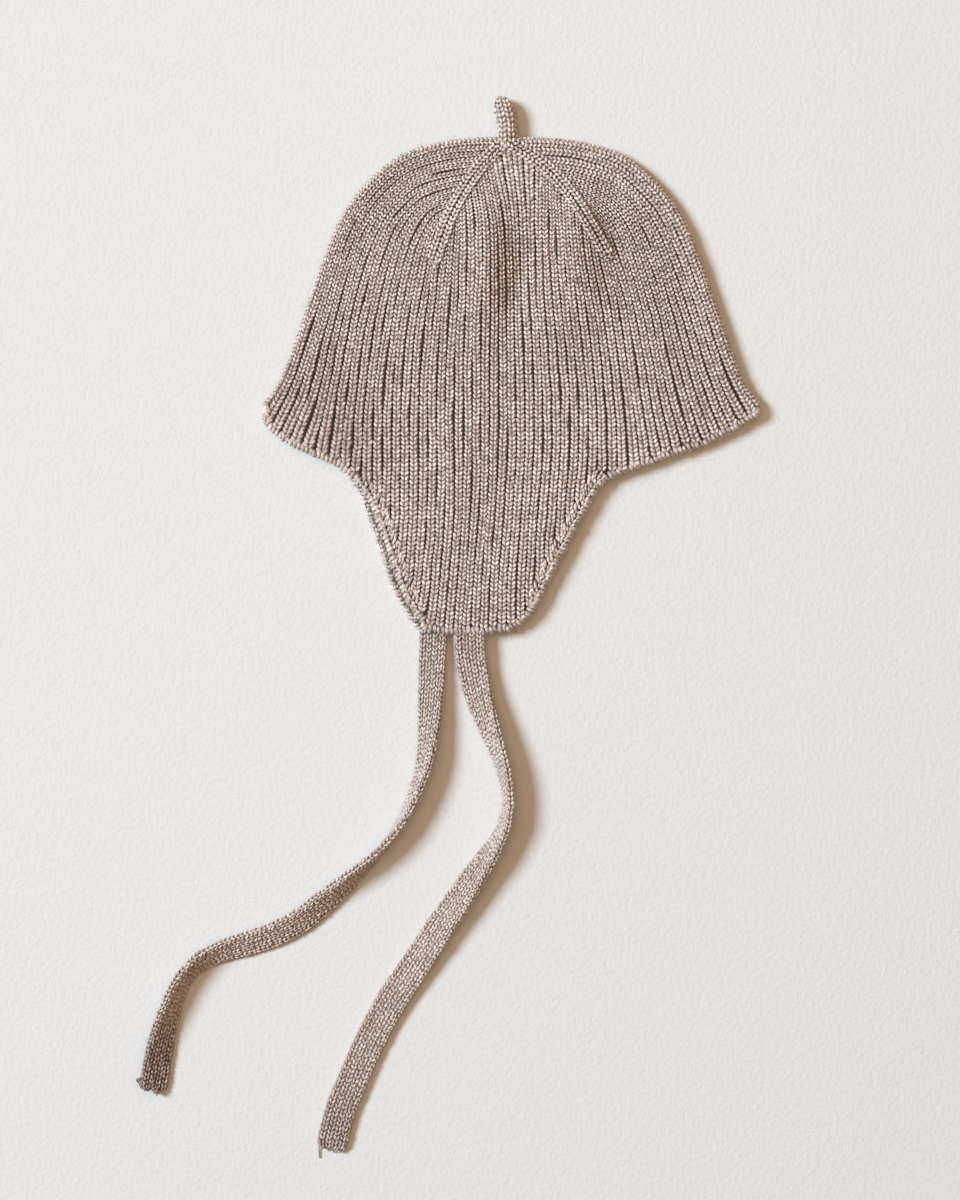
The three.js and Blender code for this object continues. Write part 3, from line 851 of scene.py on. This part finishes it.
def column_line(column, upper):
    """One column as a line on a layer, ready for stitches."""
    plan, left, right = (halves[name][column] for name in ("middle", "left", "right"))
    aside = right_of(heading(plan))
    width = np.maximum(np.abs(((right - left) * aside).sum(axis=1)), NARROWEST_COLUMN)
    stopped = past_ridge(plan, part_of_crown[column])
    end = int(np.argmax(stopped)) if stopped.any() else len(plan)
    outside = np.flatnonzero(edge_room(plan[:end]) < 0)
    start = outside[-1] + 1 if len(outside) else 0
    plan = plan + aside * wandering(len(plan), WANDER_ASIDE)[:, None]
    fullness = 0.94 + 0.10 * ramp(plan[:, 1], *FULLER_RISE) + 0.05 * ramp(-plan[:, 1], *FULLER_DROP)
    width = width * (fullness + wandering(len(plan), WANDER_WIDTH))
    plan, width = plan[start:end], width[start:end]
    at, out = on_layer(plan, upper)
    if not upper:
        at[:, 2] += LOWER_LIFT
    level = int(np.argmax(plan[:, 1] > LEVEL_ROW))
    return knit_line(at, out, width, float(lengths_along(at)[level]))


upper_columns = [column_line(column, True) for column in range(COLUMNS)]
lower_columns = [column_line(column, False) for column in range(COLUMNS)]
print("columns laid:", len(upper_columns), "upper and", len(lower_columns), "lower")

# %% [markdown]
# ## The upper layer
# This is the layer that the photograph shows. Its stitches are split into pieces by part of the hat, as a
# knitter would speak of them: the two sides and the middle of the crown, and the brim with the flap. That
# also keeps each mesh light enough to handle. A column is knitted whole first, and then each stitch goes to
# its part by its rise. The corners of the brim lie a little in shade, so an attribute on the points paints
# that shade on them there.

# %% Stitches of the upper layer
STITCH = 1.74
BRIM_SPLIT = 8.0


def by_rise(bundle, rise):
    """The tubes of a bundle below and above a rise, as two bundles."""
    points, pattern, places = bundle
    high = points[:, :, 1].mean(axis=1) > rise
    return [(points[chosen], pattern, places[chosen]) for chosen in (~high, high)]


def knit(lines, sides, shape):
    """Stitches up every line of a list, as bundles below and above the brim."""
    low, high = [], []
    for line in lines:
        for bundle in lay_stitches(line, STITCH, sides, shape=shape):
            below, above = by_rise(bundle, BRIM_SPLIT)
            low.append(below)
            high.append(above)
    return low, high


SHADE_LEFT = 0.22
SHADE_RIGHT = 0.07
SHADE_LEFT_FROM_TO = (38.0, 68.0)
SHADE_RIGHT_FROM_TO = (45.0, 75.0)
SHADE_UP_TO = (2.0, 40.0)


def shaded_corners(points):
    """Share of painted shade at the brim's corners: more on the left."""
    left = SHADE_LEFT * ramp(-points[:, 0], *SHADE_LEFT_FROM_TO)
    right = SHADE_RIGHT * ramp(points[:, 0], *SHADE_RIGHT_FROM_TO)
    return (left + right) * (1 - ramp(points[:, 1], *SHADE_UP_TO))


middle_from, middle_to = LEFT_SIDE_COLUMNS, COLUMNS - RIGHT_SIDE_COLUMNS
brim_bundles = []
for name, part in (
    ("crown_left_stitches", upper_columns[:middle_from]),
    ("crown_middle_stitches", upper_columns[middle_from:middle_to]),
    ("crown_right_stitches", upper_columns[middle_to:]),
):
    low, high = knit(part, 6, KNIT_LEG)
    brim_bundles += low
    piece_from(name, high, stitch_wool, shaded_corners)
piece_from("brim_and_flap_stitches", brim_bundles, stitch_wool, shaded_corners)

# %% [markdown]
# ## The lower layer
# The other side of the hat is knitted just like this one, and it lies on the surface. Only its folded sides
# show from above, so its yarn has four sides to the round instead of six.

# %% Stitches of the lower layer
low, high = knit(lower_columns, 4, SIMPLE_LEG)
piece_from("lower_layer_stitches", low + high, stitch_wool)

# %% [markdown]
# ## The backs of the columns
# Between the legs of a V one doesn't look into a hole, but on to the yarn of the same stitch that runs
# behind it. It would cost many triangles to knit that as well, and almost nothing of it shows. A flat oval
# tube under every column stands for it, in a darker copy of the wool: painted shade.

# %% Backs of the columns
BACK_SINK = 1.15
BACK_HALF_WIDTH = 0.37
BACK_HALF_HEIGHT = 0.75


def column_backs(lines, sides):
    """Flat tubes under the stitches of the columns."""
    bundles = []
    for line in lines:
        at, out, width = (line[key][::3] for key in ("at", "out", "width"))
        if len(at) > 3:
            at = at - out * BACK_SINK
            bundles.append(oval_tube(at, out, width * BACK_HALF_WIDTH, BACK_HALF_HEIGHT, sides))
    return bundles


piece_from("column_backs", column_backs(upper_columns, 6) + column_backs(lower_columns, 4), shaded_back_wool)

# %% [markdown]
# ## The ground behind the columns
# Between two columns of a rib the knit sinks back, and there one looks into shadow. A thin closed shell, a
# millimetre and a half under the face of the hat, gives that ground in a wool painted very dark, as painted
# shade, and it closes the hat where the yarn leaves gaps. It is built like the solid: hairpin sections from
# the upper edge round the fold to the lower edge, inside and out.

# %% Ground shell
GROUND_SINK = 1.5
GROUND_COLUMNS = 130
GROUND_ROWS = 22
GROUND_TURNS = 6
GROUND_EDGE_ROOM = 0.5


def ground_sections(inner):
    """Rows of points of one face of the ground, from the upper edge round the fold to the lower edge."""
    fold = spline(fold_points, even_times(fold_points, GROUND_COLUMNS))
    edge = spline(edge_points, even_times(edge_points, GROUND_COLUMNS))
    inward = right_of(heading(fold))
    inner_fold = fold + inward * FOLD_RADIUS
    edge = edge + unit(inner_fold - edge) * GROUND_EDGE_ROOM
    radius = FOLD_GAP / 2 if inner else FOLD_RADIUS - GROUND_SINK
    rows = []
    for share in np.linspace(1, 0, GROUND_ROWS, endpoint=False):
        place = inner_fold + (edge - inner_fold) * share
        top = 2 * WALL + hollow_height(place, to_fold(place)[0]) - (WALL if inner else GROUND_SINK)
        rows.append(np.column_stack([place, top]))
    for turn in np.linspace(QUARTER, -QUARTER, 2 * GROUND_TURNS + 1):
        place = fold + inward * (FOLD_RADIUS - radius * math.cos(turn))
        rows.append(np.column_stack([place, np.full(len(place), FOLD_RADIUS + radius * math.sin(turn))]))
    for share in np.linspace(0, 1, GROUND_ROWS + 1)[1:]:
        place = inner_fold + (edge - inner_fold) * share
        floor = np.full(len(place), WALL if inner else GROUND_SINK)
        rows.append(np.column_stack([place[:, 0] + lower_shift(place), place[:, 1], floor]))
    return np.array(rows)


def ground_bundle():
    """The closed shell of the ground as one bundle of points, quads and places."""
    outer, inner = ground_sections(False), ground_sections(True)
    ring = np.vstack([outer, inner[::-1]])
    size, columns = ring.shape[:2]
    number = np.arange(size * columns).reshape(size, columns)
    beside = np.roll(number, -1, axis=0)
    quads = np.stack([number[:, :-1], number[:, 1:], beside[:, 1:], beside[:, :-1]], axis=-1).reshape(-1, 4)
    ends = []
    for row in range(size // 2 - 1):
        across = size - 1 - row
        first = [number[row, 0], number[row + 1, 0], number[across - 1, 0], number[across, 0]]
        last = [number[row, -1], number[across, -1], number[across - 1, -1], number[row + 1, -1]]
        ends += [first, last]
    quads = np.vstack([quads, ends])
    return ring.reshape(1, -1, 3), quads, np.zeros((1, len(quads), 4, 2))


knit_ground = piece_from("knit_ground", [ground_bundle()], shaded_ground_wool)
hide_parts("hat_body")

# %% [markdown]
# ## Ridges of the crown
# Where the knitter takes stitches away, two columns stand up side by side and run down from the stem. Each
# ridge is a pair of the same V columns, a little higher than the rest, and its first stitches lie across
# its foot in a knob.

# %% Ridges
RIDGE_LIFT = 0.935
KNOB_LIFT = 0.77
RIDGE_COLUMN = 3.1
RIDGE_STITCH = 1.9
RIDGE_TOE = 3.6
KNOB_BELOW = 3.4
KNOB_REACH = 3.4
KNOB_COLUMN = 2.7
RIDGE_YARN = 0.185
KNOB_STITCH = 2.0


def ridge_lines(ridge, upper):
    """The two columns of a ridge, from its foot up."""
    plan = ridge[::-1]
    toe = plan[:1] + unit(plan[:1] - plan[2:3]) * np.linspace(RIDGE_TOE, 0.6, 5)[:, None]
    plan = np.vstack([toe, plan])
    beside = right_of(heading(plan)) * RIDGE_COLUMN / 2
    lift = RIDGE_LIFT if upper else -LOWER_LIFT
    lines = []
    for side in (-1, 1):
        at, out = on_layer(plan + beside * side, upper)
        lines.append(knit_line(at + out * lift, out, RIDGE_COLUMN, 0.4))
    return lines


def ridge_knob(ridge):
    """A short line across the foot of a ridge, where its first stitches lie in a heap."""
    down = unit(ridge[-1] - ridge[-3])
    aside = np.array([-down[1], down[0]])
    plan = ridge[-1] + down * KNOB_BELOW + aside * np.linspace(-KNOB_REACH, KNOB_REACH, 9)[:, None]
    at, out = on_layer(plan)
    return knit_line(at + out * KNOB_LIFT, out, KNOB_COLUMN, 0.6)


ridge_bundles = []
for ridge in (left_ridge, right_ridge):
    for line in ridge_lines(ridge, True):
        ridge_bundles += lay_stitches(line, RIDGE_STITCH, yarn_share=RIDGE_YARN)
    ridge_bundles += lay_stitches(ridge_knob(ridge), KNOB_STITCH, uneven=3.0)
    for line in ridge_lines(ridge, False):
        ridge_bundles += lay_stitches(line, RIDGE_STITCH, sides=4)
piece_from("crown_ridges", ridge_bundles, stitch_wool)

# %% [markdown]
# ## The cast-on edge
# The hat is begun at its edge, and a cast-on row is a rope of small slanted loops that wrap the edge from
# face to face. Each loop is a tube of five rings, laid round the edge at nearly even steps, on both layers.

# %% Loops round the edge
EDGE_LOOP = np.array([
    # in from the edge, along the edge (millimetres), share from outer to inner face, thickness
    (2.4, -0.55, 0.12, 0.80),
    (1.0, -0.40, 0.00, 1.10),
    (-0.05, 0.00, 0.45, 1.20),
    (0.75, 0.40, 0.96, 1.00),
    (2.0, 0.55, 0.90, 0.80),
])
EDGE_STEP = 1.74
EDGE_YARN = 0.72
EDGE_UNEVEN = 0.18
EDGE_SUNK = 0.55 * EDGE_YARN


def edge_loops(upper):
    """Loops round the cast-on edge of one layer."""
    total = lengths_along(EDGE_AT)
    count = int(total[-1] / EDGE_STEP)
    middle = (np.arange(count) + 0.5) * total[-1] / count + rng.normal(0, 0.7 * EDGE_UNEVEN, count)
    places = np.clip(middle[:, None] + EDGE_LOOP[:, 1], 0, total[-1])
    foot = along_line(places, total, EDGE_AT)
    into = -right_of(along_line(middle, total, heading(EDGE_AT)))
    depth = EDGE_LOOP[:, 0] * (1 + rng.normal(0, 0.13, (count, 1))) + rng.normal(0, EDGE_UNEVEN, (count, 1))
    plan = foot + into[:, None] * depth[:, :, None]
    flat = plan.reshape(-1, 2)
    outer, out = on_layer(flat, upper)
    inner, _ = on_layer(flat, upper, inner=True)
    share = np.tile(EDGE_LOOP[:, 2], count)[:, None]
    at = (outer - out * EDGE_SUNK) * (1 - share) + (inner + out * EDGE_SUNK * 0.4) * share
    lean = np.repeat(np.column_stack([-into, np.zeros(count)]), len(EDGE_LOOP), axis=0)
    swing = 1 - np.abs(2 * share - 1)
    face = np.where(share < 0.5, out, -out)
    over = unit(lean * swing + face * (1 - swing) + 1e-4)
    radii = EDGE_YARN * EDGE_LOOP[:, 3] * (1 + rng.normal(0, 0.14, (count, 1)))
    shape = (count, len(EDGE_LOOP), 3)
    return yarn_tubes(at.reshape(shape), over.reshape(shape), radii)


piece_from("cast_on_edge", [edge_loops(True), edge_loops(False)], stitch_wool)

# %% [markdown]
# ## Selvedges of the flap
# Along the slanted sides of the flap the edge is not a cast-on but a selvedge: a chain of stitches runs
# down the slant, and beside it longer slanted stitches show where the knitter moved columns inward to
# narrow the flap.

# %% Selvedge chains and shaping stitches
SELVEDGE_IN = 2.0
SELVEDGE_COLUMN = 3.1
SELVEDGE_STITCH = 1.95
SELVEDGE_YARN = 0.19
SHAPING_IN = 4.0
SHAPING_STITCH = 2.3
SHAPING_LIFT = 0.1
SHAPING_LEG = np.array([
    (-0.30, -0.55, -0.9, 0.75),
    (-0.10, -0.10, -0.1, 1.00),
    (0.10, 0.35, -0.1, 1.00),
    (0.30, 0.85, -0.9, 0.75),
])
BARED_SLANT = (-66.0, -36.0)
BARED_IN = (1.4, 3.4, 5.4)
BARED_COLUMN = 2.9
BARED_STITCH = 1.8
BARED_YARN = 0.2
BARED_BELOW = 3.4
BARED_SHADE = 0.28
LEFT_SLANT_SHADE = 0.17
RIGHT_SLANT_SHADE = 0.05
SLANTS_PARTED = -20.0


def slant_line(limits, depth, upper, inner=False, width=SELVEDGE_COLUMN):
    """A line along one slanted side of the flap, so far in from the edge, from its lower end up."""
    part = EDGE_AT[(EDGE_AT[:, 0] > limits[0]) & (EDGE_AT[:, 0] < limits[1])]
    plan = part - right_of(heading(part)) * depth
    plan = (plan if plan[-1, 1] > plan[0, 1] else plan[::-1])[::3]
    at, out = on_layer(plan, upper, inner)
    if not upper and not inner:
        at = at - out * LOWER_LIFT
    return knit_line(at, out, width, 0.9)


selvedge_bundles = []
for limits in (LEFT_SLANT, RIGHT_SLANT):
    lean_leg = (1,) if limits is LEFT_SLANT else (-1,)
    for upper in (True, False):
        chain = slant_line(limits, SELVEDGE_IN, upper)
        selvedge_bundles += lay_stitches(chain, SELVEDGE_STITCH, uneven=2.5, yarn_share=SELVEDGE_YARN)
        shaping = slant_line(limits, SHAPING_IN, upper)
        if upper:
            shaping["at"] = shaping["at"] + shaping["out"] * SHAPING_LIFT
        selvedge_bundles += lay_stitches(
            shaping, SHAPING_STITCH, uneven=3.0, shape=SHAPING_LEG, legs=lean_leg, yarn_share=SELVEDGE_YARN)

# The lower flap peeps out on the left, so its inner face is knitted there too.
for depth in BARED_IN:
    bared = slant_line(BARED_SLANT, depth, False, inner=True, width=BARED_COLUMN)
    selvedge_bundles += lay_stitches(bared, BARED_STITCH, uneven=3.5, shape=SIMPLE_LEG, yarn_share=BARED_YARN)


def shaded_slants(points):
    """Share of painted shade on the slants: most on the low stitches of the left side, where the lower flap
    peeps out under the upper one, some on the rest of the left slant, a little on the right.
    """
    left = np.where(points[:, 2] < BARED_BELOW, BARED_SHADE, LEFT_SLANT_SHADE)
    return np.where(points[:, 0] < SLANTS_PARTED, left, RIGHT_SLANT_SHADE)


piece_from("flap_selvedges", selvedge_bundles, stitch_wool, shaded_slants)

# %% [markdown]
# ## The ties, knitted
# A tie is a narrow tube of knitting pressed flat, so it shows four columns of V on both faces and a column
# along each edge. The band underneath and all of its stitches are joined in one mesh, because a cord is one
# thing that is measured as a whole. Its free end is left bare: one is rounded, the other frays a little.

# %% Knitted bands
TIE_COLUMNS = 4
TIE_STITCH = 1.85
TIE_COLUMN = 2.75
TIE_CORE = 0.75
TIE_TUCK = 1.8
TIE_FACE = TIE_THICKNESS / 2 * 0.86
TIE_EDGE = TIE_WIDTH / 2 - 0.1
SHADED_END = (0.83, 0.95)
TIE_YARN = 0.172
SLIM_UP_TO = (0.3, 0.5)
LOOPS = 16
LOOP_SIZE = 2.0
LOOP_YARN = 0.42
LOOP_TURN = 1.9
LOOP_RINGS = 6
LOOP_FLOOR = 0.6
TIE_LEG = np.array([
    (0.080, -0.48, -0.90, 0.74),
    (0.170, -0.14, 0.00, 1.00),
    (0.290, 0.22, 0.00, 1.00),
    (0.385, 0.60, -0.95, 0.74),
])


def tie_end_narrowing(frames, rounding):
    """Share of the full width along a tie: 1, and smaller over the last millimetres."""
    gone = lengths_along(frames["at"])
    left = np.clip((gone[-1] - gone) / rounding, 0, 1)
    return np.sqrt(np.clip(1 - (1 - left) ** 2, 0.12, 1))


def tie_core(frames, narrow):
    """The flat band inside a tie, as one bundle."""
    half_width = (TIE_WIDTH / 2 - 0.6) * narrow
    return oval_tube(frames["at"][:-2], frames["out"][:-2], half_width[:-2], TIE_CORE, 12, 0.7)


def tie_lines(frames, narrow):
    """Columns of a tie, from the free end up to the flap."""
    at, across, out = (frames[key] for key in ("at", "across", "out"))
    places = (np.arange(TIE_COLUMNS) - (TIE_COLUMNS - 1) / 2) * TIE_COLUMN
    narrow = narrow * np.ones(len(at))
    lines = []
    for face in (1, -1):
        for place in places:
            lines.append((at + across * (place * narrow)[:, None] + out * face * TIE_FACE, out * face))
    for edge in (-1, 1):
        lines.append((at + across * (edge * TIE_EDGE * narrow)[:, None], across * edge))
    tucked = []
    width = np.append(narrow[:1], narrow) * TIE_COLUMN
    for at, out in lines:
        into_flap = at[:1] + unit(at[:1] - at[1:2]) * TIE_TUCK
        at, out = np.vstack([into_flap, at]), np.vstack([out[:1], out])
        tucked.append(knit_line(at[::-1], out[::-1], width[::-1], 0.4 + 0.7 * rng.random()))
    return tucked


def end_loops(frames):
    """Loose little loops of yarn where a tie's end has frayed."""
    turn = np.linspace(-LOOP_TURN, LOOP_TURN, LOOP_RINGS)
    bundles = []
    for share in np.arange(LOOPS) / LOOPS:
        place = TIE_WIDTH * (0.52 - 0.72 * share)
        back = 3.0 * (1 - share) ** 2 + 0.6
        middle = frames["at"][-1] + frames["across"][-1] * place - frames["along"][-1] * back
        tip = unit(rng.normal(0, 1, 3) * [1, 1, 0.3])
        side = unit(np.cross(tip, rng.normal(0, 1, 3)))
        size = LOOP_SIZE * rng.uniform(0.5, 0.8)
        centre = middle + rng.normal(0, 0.3, 3) * LOOP_SIZE * [0.6, 0.6, 0.0]
        loop = centre + size * (tip * np.cos(turn)[:, None] + side * np.sin(turn)[:, None])
        loop[:, 2] = np.maximum(loop[:, 2], LOOP_FLOOR)
        over = unit(loop - centre + [0, 0, 0.01])
        bundles.append(yarn_tubes(loop[None], over[None], np.full((1, LOOP_RINGS), LOOP_YARN)))
    return bundles


def knitted_tie(name, frames, rounding, slim, shade, frayed, back_hidden):
    """One tie as a single mesh."""
    gone = lengths_along(frames["at"])
    share = gone / gone[-1]
    narrow = tie_end_narrowing(frames, rounding) * (1 - slim * (1 - ramp(share, *SLIM_UP_TO)))
    bundles = [tie_core(frames, narrow)]
    for number, line in enumerate(tie_lines(frames, narrow)):
        hidden = back_hidden and TIE_COLUMNS <= number < 2 * TIE_COLUMNS
        shape, sides = (SIMPLE_LEG, 4) if hidden else (TIE_LEG, 6)
        bundles += lay_stitches(line, TIE_STITCH, sides, uneven=1.8, shape=shape, yarn_share=TIE_YARN)
    if frayed:
        bundles += end_loops(frames)

    # Painted shade darkens each tie towards its free end, as far as its shade share.
    def darkening(points):
        place = share[nearest_on(frames["at"][:, :2], points[:, :2])]
        return shade * ramp(place, *SHADED_END)

    return piece_from(name, bundles, tie_wool, darkening)


for name, frames, ways in (
    ("tie_lower_knit", lower_tie_frames, {
        "rounding": 1.6, "slim": 0.10, "shade": 0.36, "frayed": True, "back_hidden": False}),
    ("tie_upper_knit", upper_tie_frames, {
        "rounding": 4.2, "slim": 0.0, "shade": 0.20, "frayed": False, "back_hidden": True}),
):
    tie = knitted_tie(name, frames, **ways)
    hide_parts(name.replace("_knit", ""))

# %% [markdown]
# ## The stem
# The last stitches of the crown are knitted on as a thin round cord, drawn tight at its end. Its columns
# run up all round and close in a small dome. It leans a little to the left.

# %% Knitted stem
STEM_WIDTH = 8.6
STEM_RISE = 17.2
STEM_PROFILE = np.array([
    # along (share of the rise), lean to the left and width (shares of the width)
    (0, 0.2, 0.96), (0.12, 0.2, 0.92), (0.4, 0.24, 0.93), (0.66, 0.36, 0.98),
    (0.80, 0.43, 0.86), (0.90, 0.47, 0.60), (0.965, 0.49, 0.24),
])
STEM_COLUMNS = 7
STEM_STITCH = 2.0
STEM_TUCK = 4.5
STEM_SINK = 0.3
STEM_CORE_SINK = 1.0
STEM_YARN = 0.175
TUCK_RINGS = 12
stem_length = STEM_RISE - KNIT_CLEARANCE
stem_steps = spline(STEM_PROFILE, np.linspace(0, 1, 60))
tucked_in = np.column_stack([
    np.linspace(-STEM_TUCK / stem_length, -0.01, TUCK_RINGS),
    np.tile(STEM_PROFILE[0, 1:], (TUCK_RINGS, 1)),
])
stem_steps = np.vstack([tucked_in, stem_steps])
stem_radius = stem_steps[:, 2] * STEM_WIDTH / 2


def stem_line(turn, sink):
    """A line up the stem at an angle round it, with the directions out."""
    out = np.array([math.cos(turn), 0.0, math.sin(turn)])
    at = stem_middle + out * (stem_radius - sink)[:, None]
    along = heading(at)
    return at, unit(np.cross(unit(np.cross(along, out)), along))


stem_middle = np.column_stack([
    -stem_steps[:, 1] * STEM_WIDTH,
    CROWN_RISE + KNIT_CLEARANCE + stem_steps[:, 0] * stem_length,
    np.full(len(stem_steps), STEM_WIDTH / 2),
])
stem_bundles = []
for column in range(STEM_COLUMNS):
    at, out = stem_line(2 * math.pi * (column + 0.25) / STEM_COLUMNS, STEM_SINK)
    width = 0.94 * stem_radius * 2 * math.pi / STEM_COLUMNS
    stem_bundles += lay_stitches(knit_line(at, out, width, 0.8), STEM_STITCH, yarn_share=STEM_YARN)
upright = np.tile([0.0, 0.0, 1.0], (len(stem_middle), 1))
core_radius = stem_radius - STEM_CORE_SINK
stem_bundles.append(oval_tube(stem_middle, upright, core_radius, core_radius, 12))
stem_knit = piece_from("stem_knit", stem_bundles, stitch_wool)
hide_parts("top_stem")

# %% [markdown]
# ## Loose fibres
# Wool is never clean-edged: short fibres stand off the yarn everywhere, most visibly along the outline.
# Particle hair could do it, but hair doesn't travel with an exported mesh, so each fibre is a very thin
# curved tube. A fleck of red lint sits on the right of the dent, and one thread end sticks out of the
# rounded tie.

# %% Fibres, a thread end and a fleck of lint
FIBRE_RADIUS = 0.045
FIBRE_RINGS = 3
FIBRE_CURL = 0.35
FIBRE_OUTWARD = 0.9


def fibres_at(roots, outs, ways, reach):
    """Thin curved tubes that start at roots and lean along ways."""
    count = len(roots)
    length = reach * rng.uniform(0.5, 1.2, (count, 1))
    curl = rng.normal(0, FIBRE_CURL, (count, 3)) * length
    steps = np.linspace(0, 1, FIBRE_RINGS)[None, :, None]
    centres = roots[:, None] + ways[:, None] * length[:, None] * steps + curl[:, None] * steps ** 2
    centres[:, :, 2] = np.maximum(centres[:, :, 2], FIBRE_RADIUS)
    radii = np.full((count, FIBRE_RINGS), FIBRE_RADIUS) * np.linspace(1.1, 0.6, FIBRE_RINGS)
    return yarn_tubes(centres, np.repeat(outs[:, None], FIBRE_RINGS, axis=1), radii, 4)


def fibres_on_lines(lines, count, reach, stand_off):
    """Fibres rooted at random places of lines with points and directions out."""
    at = np.vstack([line["at"] for line in lines])
    out = np.vstack([line["out"] for line in lines])
    chosen = rng.integers(0, len(at), count)
    outs = out[chosen]
    ways = unit(rng.normal(0, 1, (count, 3)) + outs * FIBRE_OUTWARD)
    return fibres_at(at[chosen] + outs * stand_off, outs, ways, reach)


outer_columns = [upper_columns[column] for column in (0, 1, 2, -3, -2, -1)]
edge_over, edge_out = on_layer(EDGE_AT[::2])
tie_surfaces = [line for frames in (lower_tie_frames, upper_tie_frames) for line in tie_lines(frames, 1.0)]
fibre_bundles = [
    fibres_on_lines(lines, count, reach, stand_off)
    for lines, count, reach, stand_off in (
        (upper_columns, 700, 2.4, 0.4),
        (outer_columns, 260, 2.2, 0.4),
        ([{"at": edge_over, "out": edge_out}], 420, 2.2, 0.0),
        (tie_surfaces, 520, 1.9, 0.3),
    )
]
piece_from("loose_fibres", fibre_bundles, stitch_wool)

THREAD_END = np.array([
    (-76.9, -293.5, 1.2), (-76.9, -296.0, 0.6), (-76.8, -298.0, 0.45), (-76.7, -299.4, 0.4),
])
THREAD_RADIUS = 0.26
LINT_PLAN = np.array([(14.7, 61.3), (15.2, 60.6), (15.8, 60.8), (15.6, 61.4)])
LINT_RADIUS = 0.24
LINT_LIFT = 0.9
lint_red, lint_tree, lint_paint = new_material("lint_red")
set_inputs(lint_tree, lint_paint, {"Base Color": (0.62, 0.07, 0.08, 1), "Roughness": 0.9})
lint_at, lint_out = on_layer(LINT_PLAN)
# The thread end takes the darker wool of the column backs, with its painted shade.
for name, at, over, radius, material in (
    ("thread_end", THREAD_END, np.tile([1.0, 0.0, 0.0], (4, 1)), THREAD_RADIUS, shaded_back_wool),
    ("lint_fleck", lint_at + lint_out * LINT_LIFT, lint_out, LINT_RADIUS, lint_red),
):
    piece_from(name, [yarn_tubes(at[None], over[None], np.full((1, 4), radius))], material)

# %% [markdown]
# ## Surface and light
# The hat lies on a pale painted board. The light is soft daylight from the left and a little above, and the
# room fills the shadows with a warm tone: that is why the shadows look tan. A large cool lamp far to the
# left gives the daylight. The room is a warm world and a wide warm lamp overhead. With the world alone the
# hat would block so much of it that the board beside it turned blue. Colours are shown with the plain
# Standard view, so that what a material says is what the picture shows.

# %% Board, lamp and world
BOARD_HALF = 2
BOARD_BELOW = 0.0002
DAYLIGHT = {"size": 2.06, "energy": 470, "colour": (0.71, 0.87, 1.0)}
OVERHEAD = {"size": 1.2, "energy": 6.9, "colour": (1.0, 0.69, 0.44)}
OVERHEAD_AT = (0.0, 0.10, 1.3)
DAYLIGHT_DISTANCE = 6.0
DAYLIGHT_SIDE = math.radians(166)
DAYLIGHT_HEIGHT = math.radians(45)
ROOM_COLOUR = (1.0, 0.68, 0.43, 1)
ROOM_STRENGTH = 0.21

bpy.context.scene.view_settings.view_transform = "Standard"
board_mesh = bpy.data.meshes.new("board")
corners = [(x * BOARD_HALF, y * BOARD_HALF, 0) for x, y in ((-1, -1), (1, -1), (1, 1), (-1, 1))]
board_mesh.from_pydata(corners, [], [(0, 1, 2, 3)])
board = in_scene("board", board_mesh)
board.location.z = -BOARD_BELOW

board_paint, board_tree, paint = new_material("board_paint")
board_noise = object_noise(board_tree, scale=480.0, detail=4.0, roughness=0.65)
board_bump = node(board_tree, "ShaderNodeBump", {"Height": board_noise, "Strength": 0.6, "Distance": 0.0006})
set_inputs(board_tree, paint, {
    "Base Color": (0.692, 0.683, 0.676, 1),
    "Roughness": 0.85,
    "Specular IOR Level": 0.2,
    "Normal": board_bump.outputs["Normal"],
})
board_mesh.materials.append(board_paint)


def round_lamp(name, at, size, energy, colour):
    """A round area lamp that faces the middle of the picture."""
    data = bpy.data.lights.new(name, "AREA")
    data.shape = "DISK"
    data.size = size
    data.energy = energy
    data.color = colour
    lamp = in_scene(name, data)
    lamp.location = at
    lamp.rotation_mode = "QUATERNION"
    lamp.rotation_quaternion = lamp.location.to_track_quat("Z", "Y")


daylight_out = DAYLIGHT_DISTANCE * math.cos(DAYLIGHT_HEIGHT)
daylight_at = (
    daylight_out * math.cos(DAYLIGHT_SIDE),
    daylight_out * math.sin(DAYLIGHT_SIDE),
    DAYLIGHT_DISTANCE * math.sin(DAYLIGHT_HEIGHT),
)
round_lamp("daylight", daylight_at, **DAYLIGHT)
round_lamp("room_overhead", OVERHEAD_AT, **OVERHEAD)

world = bpy.data.worlds.new("warm_room")
world.use_nodes = True
room = world.node_tree.nodes["Background"]
room.inputs["Color"].default_value = ROOM_COLOUR
room.inputs["Strength"].default_value = ROOM_STRENGTH
bpy.context.scene.world = world
print("board, lamps and world are in place")
